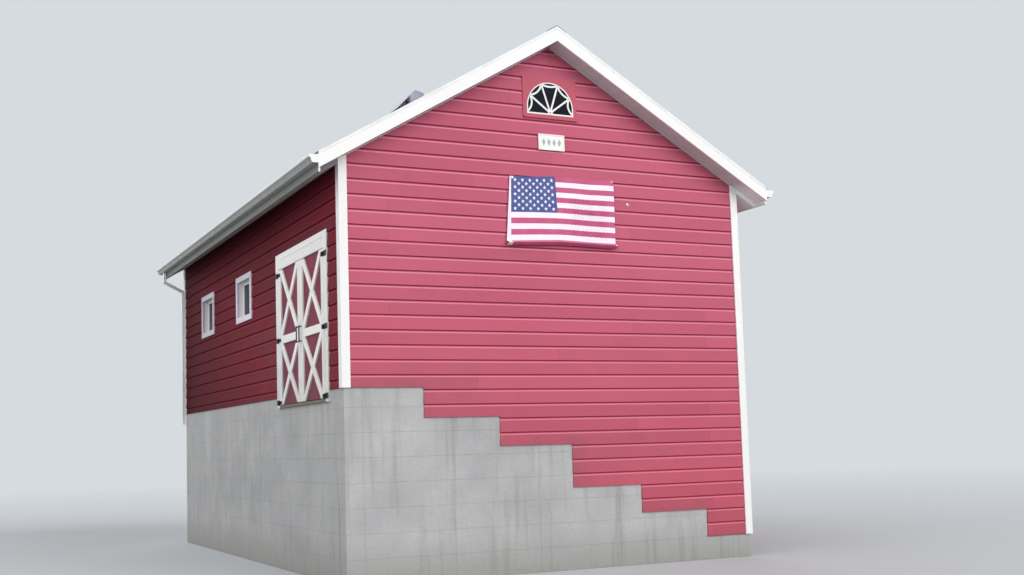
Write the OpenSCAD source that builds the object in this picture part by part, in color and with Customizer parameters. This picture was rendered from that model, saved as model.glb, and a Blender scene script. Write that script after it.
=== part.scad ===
// Red barn built into a bank: a concrete foundation that steps down with the grade, framed walls with
// lapped siding, a suspended floor, a gable roof on rafters and a pair of braced barn doors on pintles.
// The front gable faces -Y, the uphill wall with the doors faces -X.
// The origin is the centre of the plan at the lowest ground line.

/* [Walls] */
// Width over the corner boards
wall_w = 6100; // [5600:10:7000]
// Length over the corner boards
wall_l = 9140; // [8400:10:11000]
// Thickness of a framed and sheathed wall, without its siding
wall_t = 120; // [100:5:160]
// Thickness of the trim boards that the siding stops against
trim_t = 30; // [26:1:38]
// Thickness of the siding
siding_t = 22; // [16:1:25]
// Siding exposed by one course
course = 190.5; // [150:0.5:200]
// Face width of a corner board
corner_w = 112; // [90:1:150]
// Height of the side wall plates above the lowest ground
plate_z = 5306; // [5200:1:5600]

/* [Foundation] */
// Thickness of the concrete walls
concrete_t = 250; // [220:5:300]
// Top of the concrete on the uphill side
concrete_top = 2414; // [2380:1:2450]
// Courses that the concrete steps down across a gable
courses_down = 11; // [6:1:11]
// Number of steps across a gable
step_count = 5; // [3:1:6]
// Share of the gable's width that the steps take
step_share = 0.88; // [0.7:0.01:0.92]

/* [Floor] */
// Top of the floor above the lowest ground
floor_z = 2307; // [2250:1:2340]
// Thickness of the floor planks
plank_t = 38; // [28:1:45]
// Height of a joist
joist_h = 235; // [180:1:280]
// Thickness of joists and rafters
timber_t = 38; // [32:1:50]
// Spacing of the joists and rafters
timber_step = 600; // [450:10:700]
// Side of the square girder posts
post_w = 140; // [100:5:200]
// Height of the girder
girder_h = 235; // [180:5:300]
// Number of posts under the girder
post_count = 3; // [2:1:5]

/* [Roof] */
// Rise of the roof for each 12 of run
roof_rise = 7; // [6:0.25:8]
// Thickness of the roof boards
deck_t = 22; // [16:1:30]
// Depth of a rafter, square to the slope
rafter_h = 184; // [140:1:220]
// Height of the ridge board
ridge_h = 235; // [180:1:300]
// Overhang of the eaves beyond the corner boards
eave_out = 335; // [250:5:450]
// Overhang of the rakes beyond the corner boards
rake_out = 267; // [180:1:400]
// Plumb height of a rake board
rake_h = 190; // [150:1:235]
// Thickness of rake boards and fascias
fascia_t = 25; // [19:1:32]
// Thickness of the soffit panels
soffit_t = 12; // [8:1:18]

/* [Gutters] */
// Width of a gutter at its lip
gutter_w = 127; // [100:1:150]
// Height of a gutter
gutter_h = 100; // [80:1:120]
// Drop from the edge of the roof boards to the gutter's back edge
gutter_drop = 34; // [20:1:60]
// Thickness of the formed metal
metal_t = 3; // [2:0.5:4]
// Width of a downspout along the wall
spout_w = 76; // [60:1:100]
// Depth of a downspout off the wall
spout_d = 52; // [45:1:70]
// Straight neck of a downspout below the fascia
spout_neck = 70; // [30:1:120]
// Fall of a downspout's offset from the gutter to the wall
spout_fall = 180; // [140:5:320]
// Height of the uphill downspout's mouth above the lowest ground
spout_high = 2225; // [2100:1:2350]
// Height of the downhill downspout's mouth above the lowest ground
spout_low = 120; // [60:1:250]

/* [Roof vent] */
// Length of the vent's hood along the slope
vent_l = 460; // [400:5:520]
// Width of the hood
vent_w = 330; // [280:5:400]
// Height of the hood square to the roof
vent_h = 185; // [160:5:220]
// Height of the open slot round the throat
vent_slot = 70; // [50:1:80]
// Margin of the flange round the hood
vent_flange = 50; // [30:5:80]
// Thickness of the vent's sheet
vent_t = 3; // [2:0.5:5]
// Distance of the vent's middle behind the front corner
vent_y = 765; // [600:5:4000]
// Distance of the vent's middle from the ridge, along the slope
vent_s = 2030; // [1200:5:2800]

/* [Doors] */
// Distance from the front corner to the door opening
door_from_corner = 640; // [580:5:800]
// Width of the door opening
door_w = 2055; // [1900:5:2300]
// Height of the door opening above the floor
door_h = 1943; // [1850:1:2000]
// Running gap round each leaf
door_gap = 9; // [7:1:12]
// Thickness of a leaf's boards
panel_t = 22; // [18:1:26]
// Thickness of the frame on a leaf's face
frame_t = 22; // [18:1:24]
// Width of the stiles and of the middle rail
stile_w = 110; // [90:1:140]
// Drop of the middle rail below the middle of a leaf
rail_drop = 45; // [0:5:100]
// Width of the cross braces
brace_w = 95; // [60:1:120]
// Face width of the casing boards beside the opening
jamb_w = 125; // [90:1:140]
// How far the stops stand into the opening
stop_w = 26; // [20:1:40]
// Height of the header between the casing boards
header_h = 225; // [180:1:280]
// Thickness of the door sill
sill_t = 38; // [25:1:45]

/* [Door hardware] */
// Radius of a pintle
pintle_r = 8; // [6:0.5:10]
// Running clearance between a pintle and its eye
pintle_fit = 0.3; // [0.2:0.05:0.5]
// Wall of a strap's eye
eye_t = 5.5; // [4:0.5:8]
// Length of a strap on the leaf
strap_l = 100; // [70:5:110]
// Height of the lowest hinge above the bottom of its leaf
hinge_low = 30; // [28:1:120]
// Drop of the highest hinge below the top of its leaf
hinge_high = 70; // [40:1:150]
// Height of a strap
strap_h = 46; // [36:1:60]
// Thickness of straps and plates
strap_t = 5; // [4:0.5:6]
// Thickness of the arm under an eye
arm_t = 13; // [10:1:18]
// Margin of a hinge plate on its casing board
plate_margin = 6; // [4:1:10]
// How far a pintle stands out above its eye
pintle_top = 6; // [3:1:10]
// Length of a pull handle
handle_l = 230; // [160:5:300]
// Reach of a pull handle
handle_out = 46; // [38:1:60]
// Radius of the pull handle's bar
handle_r = 8; // [6:0.5:11]

/* [Windows] */
// Width over the casing
win_w = 930; // [700:5:1100]
// Height over the casing
win_h = 745; // [600:5:900]
// Face width of the casing
casing_w = 90; // [70:1:110]
// How far the casing stands proud of the corner boards
casing_proud = 5; // [0:1:15]
// Thickness of the deep jamb behind the casing
liner_t = 20; // [15:1:28]
// Top of the casings above the lowest ground
win_top = 4465; // [4350:1:4600]
// Distance from the front corner to the middle of the first window
win_1_y = 4650; // [4200:5:5200]
// Distance from the front corner to the middle of the second window
win_2_y = 7130; // [6600:5:7700]
// Depth of the sash behind the casing's face
sash_in = 100; // [60:1:110]
// Face width of a sash bar
sash_w = 40; // [28:1:55]
// Thickness of a sash
sash_t = 34; // [25:1:40]
// Thickness of the glass
glass_t = 4; // [3:0.5:6]
// Clearance of loose pieces that sit in a frame
seat = 0.3; // [0.1:0.1:0.5]

/* [Fan window] */
// Outer radius of the half-round head
fan_r = 356; // [300:1:400]
// Straight rise below the half-round head
fan_stilt = 94; // [60:1:120]
// Drop from the roof peak to the bottom of the fan window
fan_drop = 1142; // [1100:1:1400]
// Face width of the rim and the bottom rail
fan_rim = 24; // [18:1:34]
// Face width of a spoke
spoke_w = 24; // [16:1:32]
// Number of lights between the spokes
fan_lights = 5; // [3:1:7]
// How far a scallop bows towards the hub
scallop = 42; // [25:1:55]
// Face width of a scallop
scallop_w = 20; // [14:1:24]
// Radius of the hub
hub_r = 32; // [24:1:45]
// Thickness of the fan frame
fan_t = 32; // [24:1:38]
// Margin of the flat panel round the fan window
panel_margin = 56; // [40:1:80]
// Thickness of the flat panel
fan_panel_t = 26; // [24:1:30]
// Reach of the ledge under the flat panel
ledge_out = 20; // [10:1:35]

/* [Plaque and flag] */
// Width of the plaque
plaque_w = 400; // [300:5:500]
// Height of the plaque
plaque_h = 220; // [160:5:260]
// Thickness of the plaque
plaque_t = 18; // [12:1:25]
// Drop from the bottom of the fan window to the top of the plaque
plaque_drop = 268; // [200:1:350]
// Length of the flag
flag_l = 1600; // [1200:5:1700]
// Height of the flag as it hangs
flag_h = 915; // [700:5:950]
// Thickness of the flag's solid
flag_t = 8; // [4:1:12]
// Distance of the flag's middle to the right of the gable's middle
flag_x = 160; // [0:5:400]
// Drop from the bottom of the fan window to the top of the flag
flag_drop = 882; // [700:1:1100]

/* [Hidden] */
$fn = 48;
// faces of the walls
half_w = wall_w / 2;
half_l = wall_l / 2;
sheath_x = half_w - trim_t;
sheath_y = half_l - trim_t;
in_x = sheath_x - wall_t;
in_y = sheath_y - wall_t;
siding_x = sheath_x + siding_t;
siding_y = sheath_y + siding_t;
// hairline between faces that meet on a slope, and between an eye and the arm under it
bed = seat / 3;
// roof planes, measured plumb below the top of the roof boards
slope = roof_rise / 12;
pitch = atan(slope);
deck_p = deck_t / cos(pitch);
rafter_p = rafter_h / cos(pitch);
soffit_p = soffit_t / cos(pitch);
peak = plate_z + slope * in_x + deck_p + rafter_p;
eave_x = half_w + eave_out;
rake_y = half_l + rake_out;
tail_x = eave_x - fascia_t;
eave_soffit_p = deck_p + rafter_p + soffit_p;
fascia_bottom = roof(tail_x, eave_soffit_p);
// floor framing
plank_bottom = floor_z - plank_t;
joist_bottom = plank_bottom - joist_h;
// door opening, along the wall from front to back
door_y0 = -half_l + door_from_corner;
door_y1 = door_y0 + door_w;
door_top = floor_z + door_h;
leaf_w = (door_w - 3 * door_gap) / 2;
leaf_h = door_h - 2 * door_gap;
leaf_z = floor_z + door_gap;
leaf_t = panel_t + frame_t;
stop_x = half_w - leaf_t - door_gap;
eye_r = pintle_r + pintle_fit + eye_t;
// the pin's axis stands off the leaf's face by the eye, less the strap's bite into the eye
pin_off = eye_r + strap_t * 0.4;
pin_x = -half_w - pin_off;
pin_y0 = door_y0 + door_gap / 2;
pin_y1 = door_y1 - door_gap / 2;
rail_z = leaf_z + leaf_h / 2 - rail_drop;
strap_zs = [leaf_z + hinge_low, rail_z, leaf_z + leaf_h - hinge_high];
pin_drop = arm_t + bed;
// fan window
fan_z = peak - fan_drop;
fan_h = fan_r + fan_stilt;
hub_z = fan_rim + hub_r * 0.25;
rim_in = fan_r - fan_rim;
plaque_top = fan_z - plaque_drop;
flag_top = fan_z - flag_drop;
// windows on each long wall, in the wall's own Y
win_ys = [win_1_y - half_l, win_2_y - half_l];
win_bottom = win_top - win_h;

red = "#8e2b33";
white = "#f2f0ec";
grey = "#8c8a86";
timber = "#a08660";

// Height of a plane parallel to the roof, a plumb distance below the top of the roof boards
function roof(x, below) = peak - slope * abs(x) - below;
// Top of the concrete under a gable at each step, a whole number of courses down
function step_top(i) = concrete_top - course * round(i * courses_down / step_count);
// Left edge of each step
function step_x(i) = -sheath_x + i * step_share * 2 * sheath_x / step_count;
// Stepped line from left to right between two x limits of the gable
function stepped(x_end) = [for (i = [0:step_count])
    each [[step_x(i), step_top(i)], [i < step_count ? step_x(i + 1) : x_end, step_top(i)]]];

// Extrudes an outline drawn in X and Z along Y
module along_y(y0, y1) {
    translate([0, y1, 0])
        rotate([90, 0, 0])
            linear_extrude(y1 - y0)
                children();
}

// Extrudes an outline drawn in Y and Z along X
module along_x(x0, x1) {
    translate([x0, 0, 0])
        rotate([90, 0, 90])
            linear_extrude(x1 - x0)
                children();
}

module block(x0, x1, y0, y1, z0, z1) {
    translate([x0, y0, z0])
        cube([x1 - x0, y1 - y0, z1 - z0]);
}

// Repeats a shape on the other gable or the other side
module both_ends() {
    children();
    mirror([0, 1, 0]) children();
}

module both_sides() {
    children();
    mirror([1, 0, 0]) children();
}

// Concrete foundation

module foundation_left() {
    y_end = sheath_y - concrete_t;
    color(grey)
        difference() {
            along_y(-y_end, y_end)
                polygon([[-sheath_x, 0], [-sheath_x + concrete_t, 0], [-sheath_x + concrete_t, joist_bottom],
                    [-in_x, joist_bottom], [-in_x, concrete_top], [-sheath_x, concrete_top]]);
            block(-half_w, -in_x + 1, door_y0, door_y1, floor_z - sill_t, concrete_top + 1);
        }
}

module foundation_right() {
    y_end = sheath_y - concrete_t;
    color(grey)
        block(sheath_x - concrete_t, sheath_x, -y_end, y_end, 0, step_top(step_count));
}

module gable_foundation() {
    along_y(-sheath_y, -sheath_y + concrete_t)
        polygon(concat([[-sheath_x, 0]], stepped(sheath_x), [[sheath_x, 0]]));
}

// The last step over the foundation's full thickness stays below the floor framing
module foundation_front() {
    color(grey) trimmed_for_floor() gable_foundation();
}

module foundation_back() {
    color(grey) trimmed_for_floor() mirror([0, 1, 0]) gable_foundation();
}

// Leaves only the stem of the concrete beside the floor
module trimmed_for_floor() {
    difference() {
        children();
        block(-in_x, in_x, -in_y, in_y, joist_bottom, concrete_top + 1);
    }
}

// Framed walls

module gable_outline(x_edge, below) {
    polygon(concat(stepped(x_edge), [[x_edge, roof(x_edge, below)], [0, roof(0, below)],
        [-x_edge, roof(x_edge, below)]]));
}

// Stilted half-round outline of the fan window, from its bottom, grown or shrunk by an offset
module fan_outline(grow) {
    side = fan_r + grow;
    intersection() {
        union() {
            translate([0, fan_stilt])
                circle(side, $fn = 96);
            translate([-side, -grow])
                square([2 * side, fan_stilt + grow]);
        }
        translate([-side, -grow])
            square([2 * side, fan_stilt + side + 2 * grow]);
    }
}

module fan_opening(grow) {
    translate([0, fan_z])
        fan_outline(grow);
}

module gable_wall() {
    along_y(-sheath_y, -in_y)
        difference() {
            gable_outline(sheath_x, deck_p + bed);
            fan_opening(-fan_rim / 2);
        }
}

module front_wall() {
    color(timber) gable_wall();
}

module back_wall() {
    color(timber) mirror([0, 1, 0]) gable_wall();
}

module left_wall_pier() {
    color(timber)
        block(-sheath_x, -in_x, -in_y, door_y0, concrete_top, plate_z);
}

module left_wall_over_door() {
    color(timber)
        block(-sheath_x, -in_x, door_y0, door_y1, door_top, plate_z);
}

// Holes for the two windows of a long wall, drawn in Y and Z
module window_holes(grow) {
    for (y = win_ys)
        translate([y - win_w / 2 + casing_w - grow, win_bottom + casing_w - grow])
            square([win_w - 2 * casing_w + 2 * grow, win_h - 2 * casing_w + 2 * grow]);
}

module left_wall_rear() {
    color(timber)
        along_x(-sheath_x, -in_x)
            difference() {
                translate([door_y1, concrete_top])
                    square([in_y - door_y1, plate_z - concrete_top]);
                window_holes(liner_t);
            }
}

module right_wall() {
    bottom = step_top(step_count);
    color(timber)
        along_x(in_x, sheath_x)
            difference() {
                translate([-in_y, bottom])
                    square([2 * in_y, plate_z - bottom]);
                window_holes(liner_t);
            }
}

// Siding, one plain skin a side, between the corner boards and under the soffits

module gable_siding() {
    x_edge = half_w - corner_w;
    along_y(-siding_y, -sheath_y)
        intersection() {
            difference() {
                gable_outline(sheath_x, rake_h + bed);
                fan_panel_outline();
            }
            translate([-x_edge, 0])
                square([2 * x_edge, peak]);
        }
}

module front_siding() {
    color(red) gable_siding();
}

module back_siding() {
    color(red) mirror([0, 1, 0]) gable_siding();
}

module side_siding_outline(bottom) {
    y_edge = half_l - corner_w;
    difference() {
        translate([-y_edge, bottom])
            square([2 * y_edge, roof(half_w, eave_soffit_p) - bottom]);
        window_holes(casing_w);
    }
}

module left_siding() {
    color(red)
        along_x(-siding_x, -sheath_x)
            difference() {
                side_siding_outline(concrete_top);
                translate([door_y0 - jamb_w, 0])
                    square([door_w + 2 * jamb_w, door_top + header_h]);
            }
}

module right_siding() {
    color(red)
        along_x(sheath_x, siding_x)
            side_siding_outline(step_top(step_count));
}

// Two boards on each corner, cut to the soffits: the gable's board laps the edge of the other
module corner_board(bottom) {
    along_y(-half_l, -sheath_y)
        polygon([[-half_w, bottom], [corner_w - half_w, bottom],
            [corner_w - half_w, roof(half_w - corner_w, rake_h + bed)], [-half_w, roof(half_w, rake_h + bed)]]);
    block(-half_w, -sheath_x, bed - sheath_y, corner_w - half_l, bottom, roof(half_w, eave_soffit_p));
}

module corner_boards() {
    color(white)
        both_ends() {
            corner_board(concrete_top);
            mirror([1, 0, 0]) corner_board(step_top(step_count));
        }
}

// Floor

module floor_deck() {
    color("#8a7355")
        block(-in_x, in_x, -in_y, in_y, plank_bottom, floor_z);
}

module floor_joists() {
    count = floor((2 * in_y - timber_t) / timber_step);
    first = -count * timber_step / 2;
    color(timber)
        for (i = [0:count])
            translate([0, first + i * timber_step - timber_t / 2, 0])
                block(-in_x, in_x - timber_t, 0, timber_t, joist_bottom, plank_bottom);
}

module floor_ledger() {
    color(timber)
        block(in_x - timber_t, in_x, -in_y, in_y, joist_bottom, plank_bottom);
}

module floor_girder() {
    y_end = sheath_y - concrete_t;
    color(timber)
        block(-post_w / 2, post_w / 2, -y_end, y_end, joist_bottom - girder_h, joist_bottom);
}

module floor_posts() {
    y_end = sheath_y - concrete_t;
    color(timber)
        for (i = [1:post_count])
            translate([0, -y_end + i * 2 * y_end / (post_count + 1), 0])
                block(-post_w / 2, post_w / 2, -post_w / 2, post_w / 2, 0, joist_bottom - girder_h);
}

// Roof

module roof_deck(side) {
    color("#5b5650")
        mirror([side, 0, 0])
            along_y(-rake_y + fascia_t, rake_y - fascia_t)
                polygon([[0, roof(0, 0)], [eave_x, roof(eave_x, 0)],
                    [eave_x, roof(eave_x, deck_p)], [0, roof(0, deck_p)]]);
}

module roof_deck_left() {
    roof_deck(1);
}

module roof_deck_right() {
    roof_deck(0);
}

// One rafter with its ridge cut, the birdsmouth over the wall plate and the plumb tail
module rafter() {
    under = deck_p + rafter_p;
    over = deck_p + bed;
    polygon([[timber_t / 2, roof(timber_t / 2, over)], [tail_x, roof(tail_x, over)],
        [tail_x, roof(tail_x, under)], [sheath_x, roof(sheath_x, under)],
        [sheath_x, plate_z], [in_x, plate_z], [timber_t / 2, roof(timber_t / 2, under)]]);
}

module rafters() {
    count = floor((2 * in_y - timber_t) / timber_step);
    first = -count * timber_step / 2;
    color(timber)
        both_sides()
            for (i = [0:count])
                along_y(first + i * timber_step - timber_t / 2, first + i * timber_step + timber_t / 2)
                    rafter();
}

module ridge_board() {
    top = roof(timber_t / 2, deck_p + bed);
    color(timber)
        block(-timber_t / 2, timber_t / 2, -in_y, in_y, top - ridge_h, top);
}

// The two boards of a rake meet at the peak with a hairline joint
module rake_boards() {
    color(white)
        both_sides()
            both_ends()
                along_y(-rake_y, -rake_y + fascia_t)
                    polygon([[seat, roof(seat, 0)], [eave_x, roof(eave_x, 0)],
                        [eave_x, roof(eave_x, rake_h)], [seat, roof(seat, rake_h)]]);
}

module rake_soffits() {
    color("#b9b5ae")
        both_sides()
            both_ends()
                along_y(-rake_y + fascia_t, -sheath_y)
                    polygon([[seat, roof(seat, rake_h - soffit_p)],
                        [tail_x - seat, roof(tail_x - seat, rake_h - soffit_p)],
                        [tail_x - seat, roof(tail_x - seat, rake_h)], [seat, roof(seat, rake_h)]]);
}

module eave_fascias() {
    color(white)
        both_sides()
            along_y(-rake_y + fascia_t, rake_y - fascia_t)
                polygon([[tail_x, fascia_bottom], [eave_x, fascia_bottom],
                    [eave_x, roof(eave_x, deck_p)], [tail_x, roof(tail_x, deck_p)]]);
}

// A sloping panel under the rafter tails
module eave_soffits() {
    below = deck_p + rafter_p + bed;
    color("#b9b5ae")
        both_sides()
            along_y(-sheath_y, sheath_y)
                polygon([[sheath_x, roof(sheath_x, below)], [tail_x, roof(tail_x, below)],
                    [tail_x, fascia_bottom], [sheath_x, roof(sheath_x, eave_soffit_p)]]);
}

// A small board at each gable that closes the end of the eave's box
module eave_returns() {
    below = rake_h + bed;
    color("#b9b5ae")
        both_sides()
            both_ends()
                along_y(-half_l, -sheath_y - bed)
                    polygon([[half_w, roof(half_w, below)], [tail_x, roof(tail_x, below)],
                        [tail_x, fascia_bottom], [half_w, roof(half_w, eave_soffit_p)]]);
}

// Gutters and downspouts

gutter_top = roof(eave_x, deck_p) - gutter_drop + deck_p;
gutter_base = gutter_w * 0.62;
// bends of the ogee front, as shares of its reach beyond the base and of the gutter's height
gutter_bends = [[0, -1], [0.35, -0.78], [0.45, -0.5], [0.9, -0.3], [1, -0.16]];

// Outline of a gutter, drawn from its back top corner, with its open top raised
module gutter_outline(raised) {
    reach = gutter_w - gutter_base;
    polygon(concat([[0, raised], [0, -gutter_h]],
        [for (b = gutter_bends) [gutter_base + b[0] * reach, b[1] * gutter_h]], [[gutter_w, raised]]));
}

module gutters() {
    color(white)
        both_sides()
            difference() {
                along_y(-rake_y, rake_y)
                    translate([eave_x, gutter_top])
                        gutter_outline(0);
                along_y(-rake_y + metal_t, rake_y - metal_t)
                    translate([eave_x, gutter_top])
                        offset(delta = -metal_t)
                            gutter_outline(2 * metal_t);
            }
}

spout_y = half_l - corner_w / 2;
spout_mid = eave_x + gutter_base / 2;
spout_wall = half_w + seat;
offset_top = fascia_bottom - spout_neck;

// A downspout from the gutter's floor to its mouth, drawn in X and Z and shrunk by an inset
module spout_outline(bottom, inset) {
    inner = spout_wall + inset;
    outer = spout_wall + spout_d - inset;
    reach = spout_mid - spout_wall - spout_d / 2;
    polygon([[inner, bottom], [outer, bottom], [outer, offset_top - spout_fall - spout_d / 2],
        [outer + reach, offset_top - spout_d / 2], [outer + reach, gutter_top - gutter_h],
        [inner + reach, gutter_top - gutter_h], [inner + reach, offset_top],
        [inner, offset_top - spout_fall]]);
}

module downspout(bottom) {
    difference() {
        along_y(spout_y - spout_w / 2, spout_y + spout_w / 2)
            spout_outline(bottom, 0);
        along_y(spout_y - spout_w / 2 + metal_t, spout_y + spout_w / 2 - metal_t)
            intersection() {
                spout_outline(bottom - 1, metal_t);
                translate([0, bottom - 1])
                    square([2 * eave_x, spout_w]);
            }
    }
}

module downspouts() {
    color(white) {
        mirror([1, 0, 0]) downspout(spout_high);
        downspout(spout_low);
    }
}

// Bends of the vent's hood as shares of its length and height: low lip, crown and back
vent_bends = [[-0.5, 0.45], [0.31, 1], [0.49, 0.55]];
// Low end of the hood's cheeks, and both ends and the width of the throat, as shares of the hood
vent_cheek = -0.1;
vent_throat = [-0.38, 0.35, 0.84];

// Outline under the hood's top, drawn up the slope and square to it
module hood_outline() {
    bends = [for (b = vent_bends) [b[0] * vent_l, b[1] * vent_h]];
    polygon(concat([[bends[0][0], 0]], bends, [[bends[2][0], 0]]));
}

// A flange, a screened throat and a bent hood whose low end is open
module roof_vent() {
    throat_w = vent_throat[2] * vent_w;
    color("#6a6470")
        translate([0, vent_y - half_l, peak])
            rotate([0, -pitch, 0])
                translate([-vent_s, 0, bed]) {
                    block(-vent_l / 2 - vent_flange, vent_l / 2 + vent_flange,
                        -vent_w / 2 - vent_flange, vent_w / 2 + vent_flange, 0, vent_t);
                    along_y(-throat_w / 2, throat_w / 2)
                        intersection() {
                            translate([0, -vent_t])
                                hood_outline();
                            translate([vent_throat[0] * vent_l, 0])
                                square([(vent_throat[1] - vent_throat[0]) * vent_l, vent_h]);
                        }
                    vent_hood();
                }
}

module vent_hood() {
    difference() {
        along_y(-vent_w / 2, vent_w / 2)
            intersection() {
                hood_outline();
                translate([-vent_l / 2, vent_slot])
                    square([vent_l, vent_h]);
            }
        along_y(-vent_w / 2 + vent_t, vent_w / 2 - vent_t)
            translate([-vent_t, -vent_t])
                hood_outline();
        along_y(-vent_w / 2 - 1, vent_w / 2 + 1)
            intersection() {
                translate([-vent_t, -vent_t])
                    hood_outline();
                translate([-vent_l, 0])
                    square([(1 + vent_cheek) * vent_l, vent_h]);
            }
    }
}

// Doorway

// Casing board on the face, up beside the header, and the stop behind the leaf, on one side
module jamb(y_edge, way) {
    y_out = y_edge + way * jamb_w;
    y_stop = y_edge - way * stop_w;
    block(-half_w, -sheath_x, min(y_edge, y_out), max(y_edge, y_out), floor_z - sill_t, door_top + header_h);
    block(-stop_x, -in_x, min(y_edge, y_stop), max(y_edge, y_stop), floor_z, door_top);
}

module door_jambs() {
    color(white) {
        jamb(door_y0, -1);
        jamb(door_y1, 1);
    }
}

module door_header() {
    color(white) {
        block(-half_w, -sheath_x, door_y0, door_y1, door_top, door_top + header_h);
        block(-stop_x, -in_x, door_y0 + stop_w, door_y1 - stop_w, door_top - stop_w, door_top);
    }
}

module door_sill() {
    color("#77716a")
        block(-half_w, -in_x, door_y0, door_y1, floor_z - sill_t, floor_z);
}

// Door leaves, drawn for the near side of the opening with the hinge at its low Y edge

// Boards of a leaf
module leaf_panel() {
    block(-half_w + frame_t, -half_w + leaf_t, 0, leaf_w, leaf_z, leaf_z + leaf_h);
}

// A straight brace between two corners of a bay, cut to the bay
module cross_brace(w, h) {
    run = sqrt(w * w + h * h);
    intersection() {
        square([w, h]);
        union() {
            rotate(atan2(h, w))
                translate([-run, -brace_w / 2])
                    square([3 * run, brace_w]);
            translate([0, h])
                rotate(-atan2(h, w))
                    translate([-run, -brace_w / 2])
                        square([3 * run, brace_w]);
        }
    }
}

// Stiles, a middle rail and two crossed bays on the face of a leaf
module leaf_frame() {
    bay_w = leaf_w - 2 * stile_w;
    low_h = rail_z - stile_w / 2 - leaf_z;
    along_x(-half_w, -half_w + frame_t)
        translate([0, leaf_z]) {
            for (y = [0, leaf_w - stile_w])
                translate([y, 0])
                    square([stile_w, leaf_h]);
            translate([stile_w, 0])
                cross_brace(bay_w, low_h);
            translate([stile_w, low_h])
                square([bay_w, stile_w]);
            translate([stile_w, low_h + stile_w])
                cross_brace(bay_w, leaf_h - low_h - stile_w);
        }
}

// Three straps with rolled eyes
module leaf_straps() {
    for (z = strap_zs)
        translate([0, 0, z - strap_h / 2])
            difference() {
                union() {
                    block(-half_w - strap_t, -half_w, -door_gap / 2, strap_l, 0, strap_h);
                    translate([-half_w - pin_off, -door_gap / 2, 0])
                        cylinder(r = eye_r, h = strap_h);
                }
                translate([-half_w - pin_off, -door_gap / 2, -1])
                    cylinder(r = pintle_r + pintle_fit, h = strap_h + 2);
            }
}

// A bar on two feet on the meeting stile, centred on the middle rail
module leaf_handle() {
    translate([-half_w, leaf_w - stile_w / 2, rail_z - handle_l / 2]) {
        translate([-handle_out + handle_r, 0, 0])
            cylinder(r = handle_r, h = handle_l);
        for (z = [handle_r * 2, handle_l - handle_r * 2])
            translate([0, 0, z])
                rotate([0, -90, 0])
                    cylinder(r = handle_r, h = handle_out - handle_r);
    }
}

module at_near() {
    translate([0, door_y0 + door_gap, 0])
        children();
}

module at_far() {
    translate([0, door_y1 - door_gap, 0])
        mirror([0, 1, 0])
            children();
}

module near_leaf_panel() {
    color(red) at_near() leaf_panel();
}

module near_leaf_frame() {
    color(white) at_near() leaf_frame();
}

module near_leaf_straps() {
    color("#262422") at_near() leaf_straps();
}

module near_leaf_handle() {
    color("#262422") at_near() leaf_handle();
}

module far_leaf_panel() {
    color(red) at_far() leaf_panel();
}

module far_leaf_frame() {
    color(white) at_far() leaf_frame();
}

module far_leaf_straps() {
    color("#262422") at_far() leaf_straps();
}

module far_leaf_handle() {
    color("#262422") at_far() leaf_handle();
}

// A plate on the jamb board, an arm below the eye and the pin that carries it
module pintle(way) {
    plate_y = door_gap / 2 + plate_margin;
    plate_l = jamb_w - 2 * plate_margin;
    mirror([0, way, 0]) {
        translate([0, plate_y, -strap_h / 2 - pin_drop])
            block(-strap_t, 0, 0, plate_l, 0, strap_h + 2 * pin_drop);
        translate([0, 0, -strap_h / 2 - pin_drop])
            linear_extrude(arm_t) {
                translate([-pin_off, 0])
                    circle(eye_r);
                polygon([[-pin_off - eye_r * 0.5, eye_r * 0.8], [-pin_off + eye_r * 0.5, -eye_r * 0.6],
                    [-strap_t / 2, plate_y + 1], [0, plate_y + eye_r], [-strap_t, plate_y + eye_r]]);
            }
        translate([-pin_off, 0, -strap_h / 2 - pin_drop])
            cylinder(r = pintle_r, h = strap_h + pin_drop + pintle_top);
    }
}

module door_pintles() {
    color("#262422")
        for (z = strap_zs) {
            translate([-half_w, pin_y0, z]) pintle(1);
            translate([-half_w, pin_y1, z]) pintle(0);
        }
}

// Windows on the two long walls, drawn for the right wall

// A flat ring round a window's clear opening, in Y and Z
module window_ring(y, outside, inside) {
    translate([y, win_bottom + win_h / 2])
        difference() {
            square([win_w - 2 * casing_w + 2 * outside, win_h - 2 * casing_w + 2 * outside], center = true);
            square([win_w - 2 * casing_w - 2 * inside, win_h - 2 * casing_w - 2 * inside], center = true);
        }
}

module window_casings() {
    color(white)
        both_sides()
            for (y = win_ys) {
                along_x(sheath_x, half_w + casing_proud)
                    window_ring(y, casing_w, 0);
                along_x(in_x, sheath_x)
                    window_ring(y, liner_t, 0);
            }
}

sash_x = half_w + casing_proud - sash_in;

module window_sashes() {
    color(white)
        both_sides()
            for (y = win_ys)
                along_x(sash_x - sash_t, sash_x)
                    window_ring(y, -seat, sash_w);
}

module window_glass() {
    w = win_w - 2 * casing_w - 2 * sash_w - 2 * seat;
    h = win_h - 2 * casing_w - 2 * sash_w - 2 * seat;
    color("#9fb4bd", 0.5)
        both_sides()
            for (y = win_ys)
                along_x(sash_x - sash_t / 2 - glass_t / 2, sash_x - sash_t / 2 + glass_t / 2)
                    translate([y, win_bottom + win_h / 2])
                        square([w, h], center = true);
}

// Fan window in each gable, drawn for the front

module fan_panel_outline() {
    w = fan_r + panel_margin;
    translate([-w, fan_z - panel_margin])
        square([2 * w, fan_h + 2 * panel_margin]);
}

module fan_panel() {
    w = fan_r + panel_margin;
    color(red)
        both_ends() {
            along_y(-sheath_y - fan_panel_t, -sheath_y)
                difference() {
                    fan_panel_outline();
                    fan_opening(seat);
                }
            block(-w, w, -sheath_y - fan_panel_t - ledge_out, -sheath_y - fan_panel_t,
                fan_z - panel_margin, fan_z - panel_margin + fan_rim);
        }
}

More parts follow.
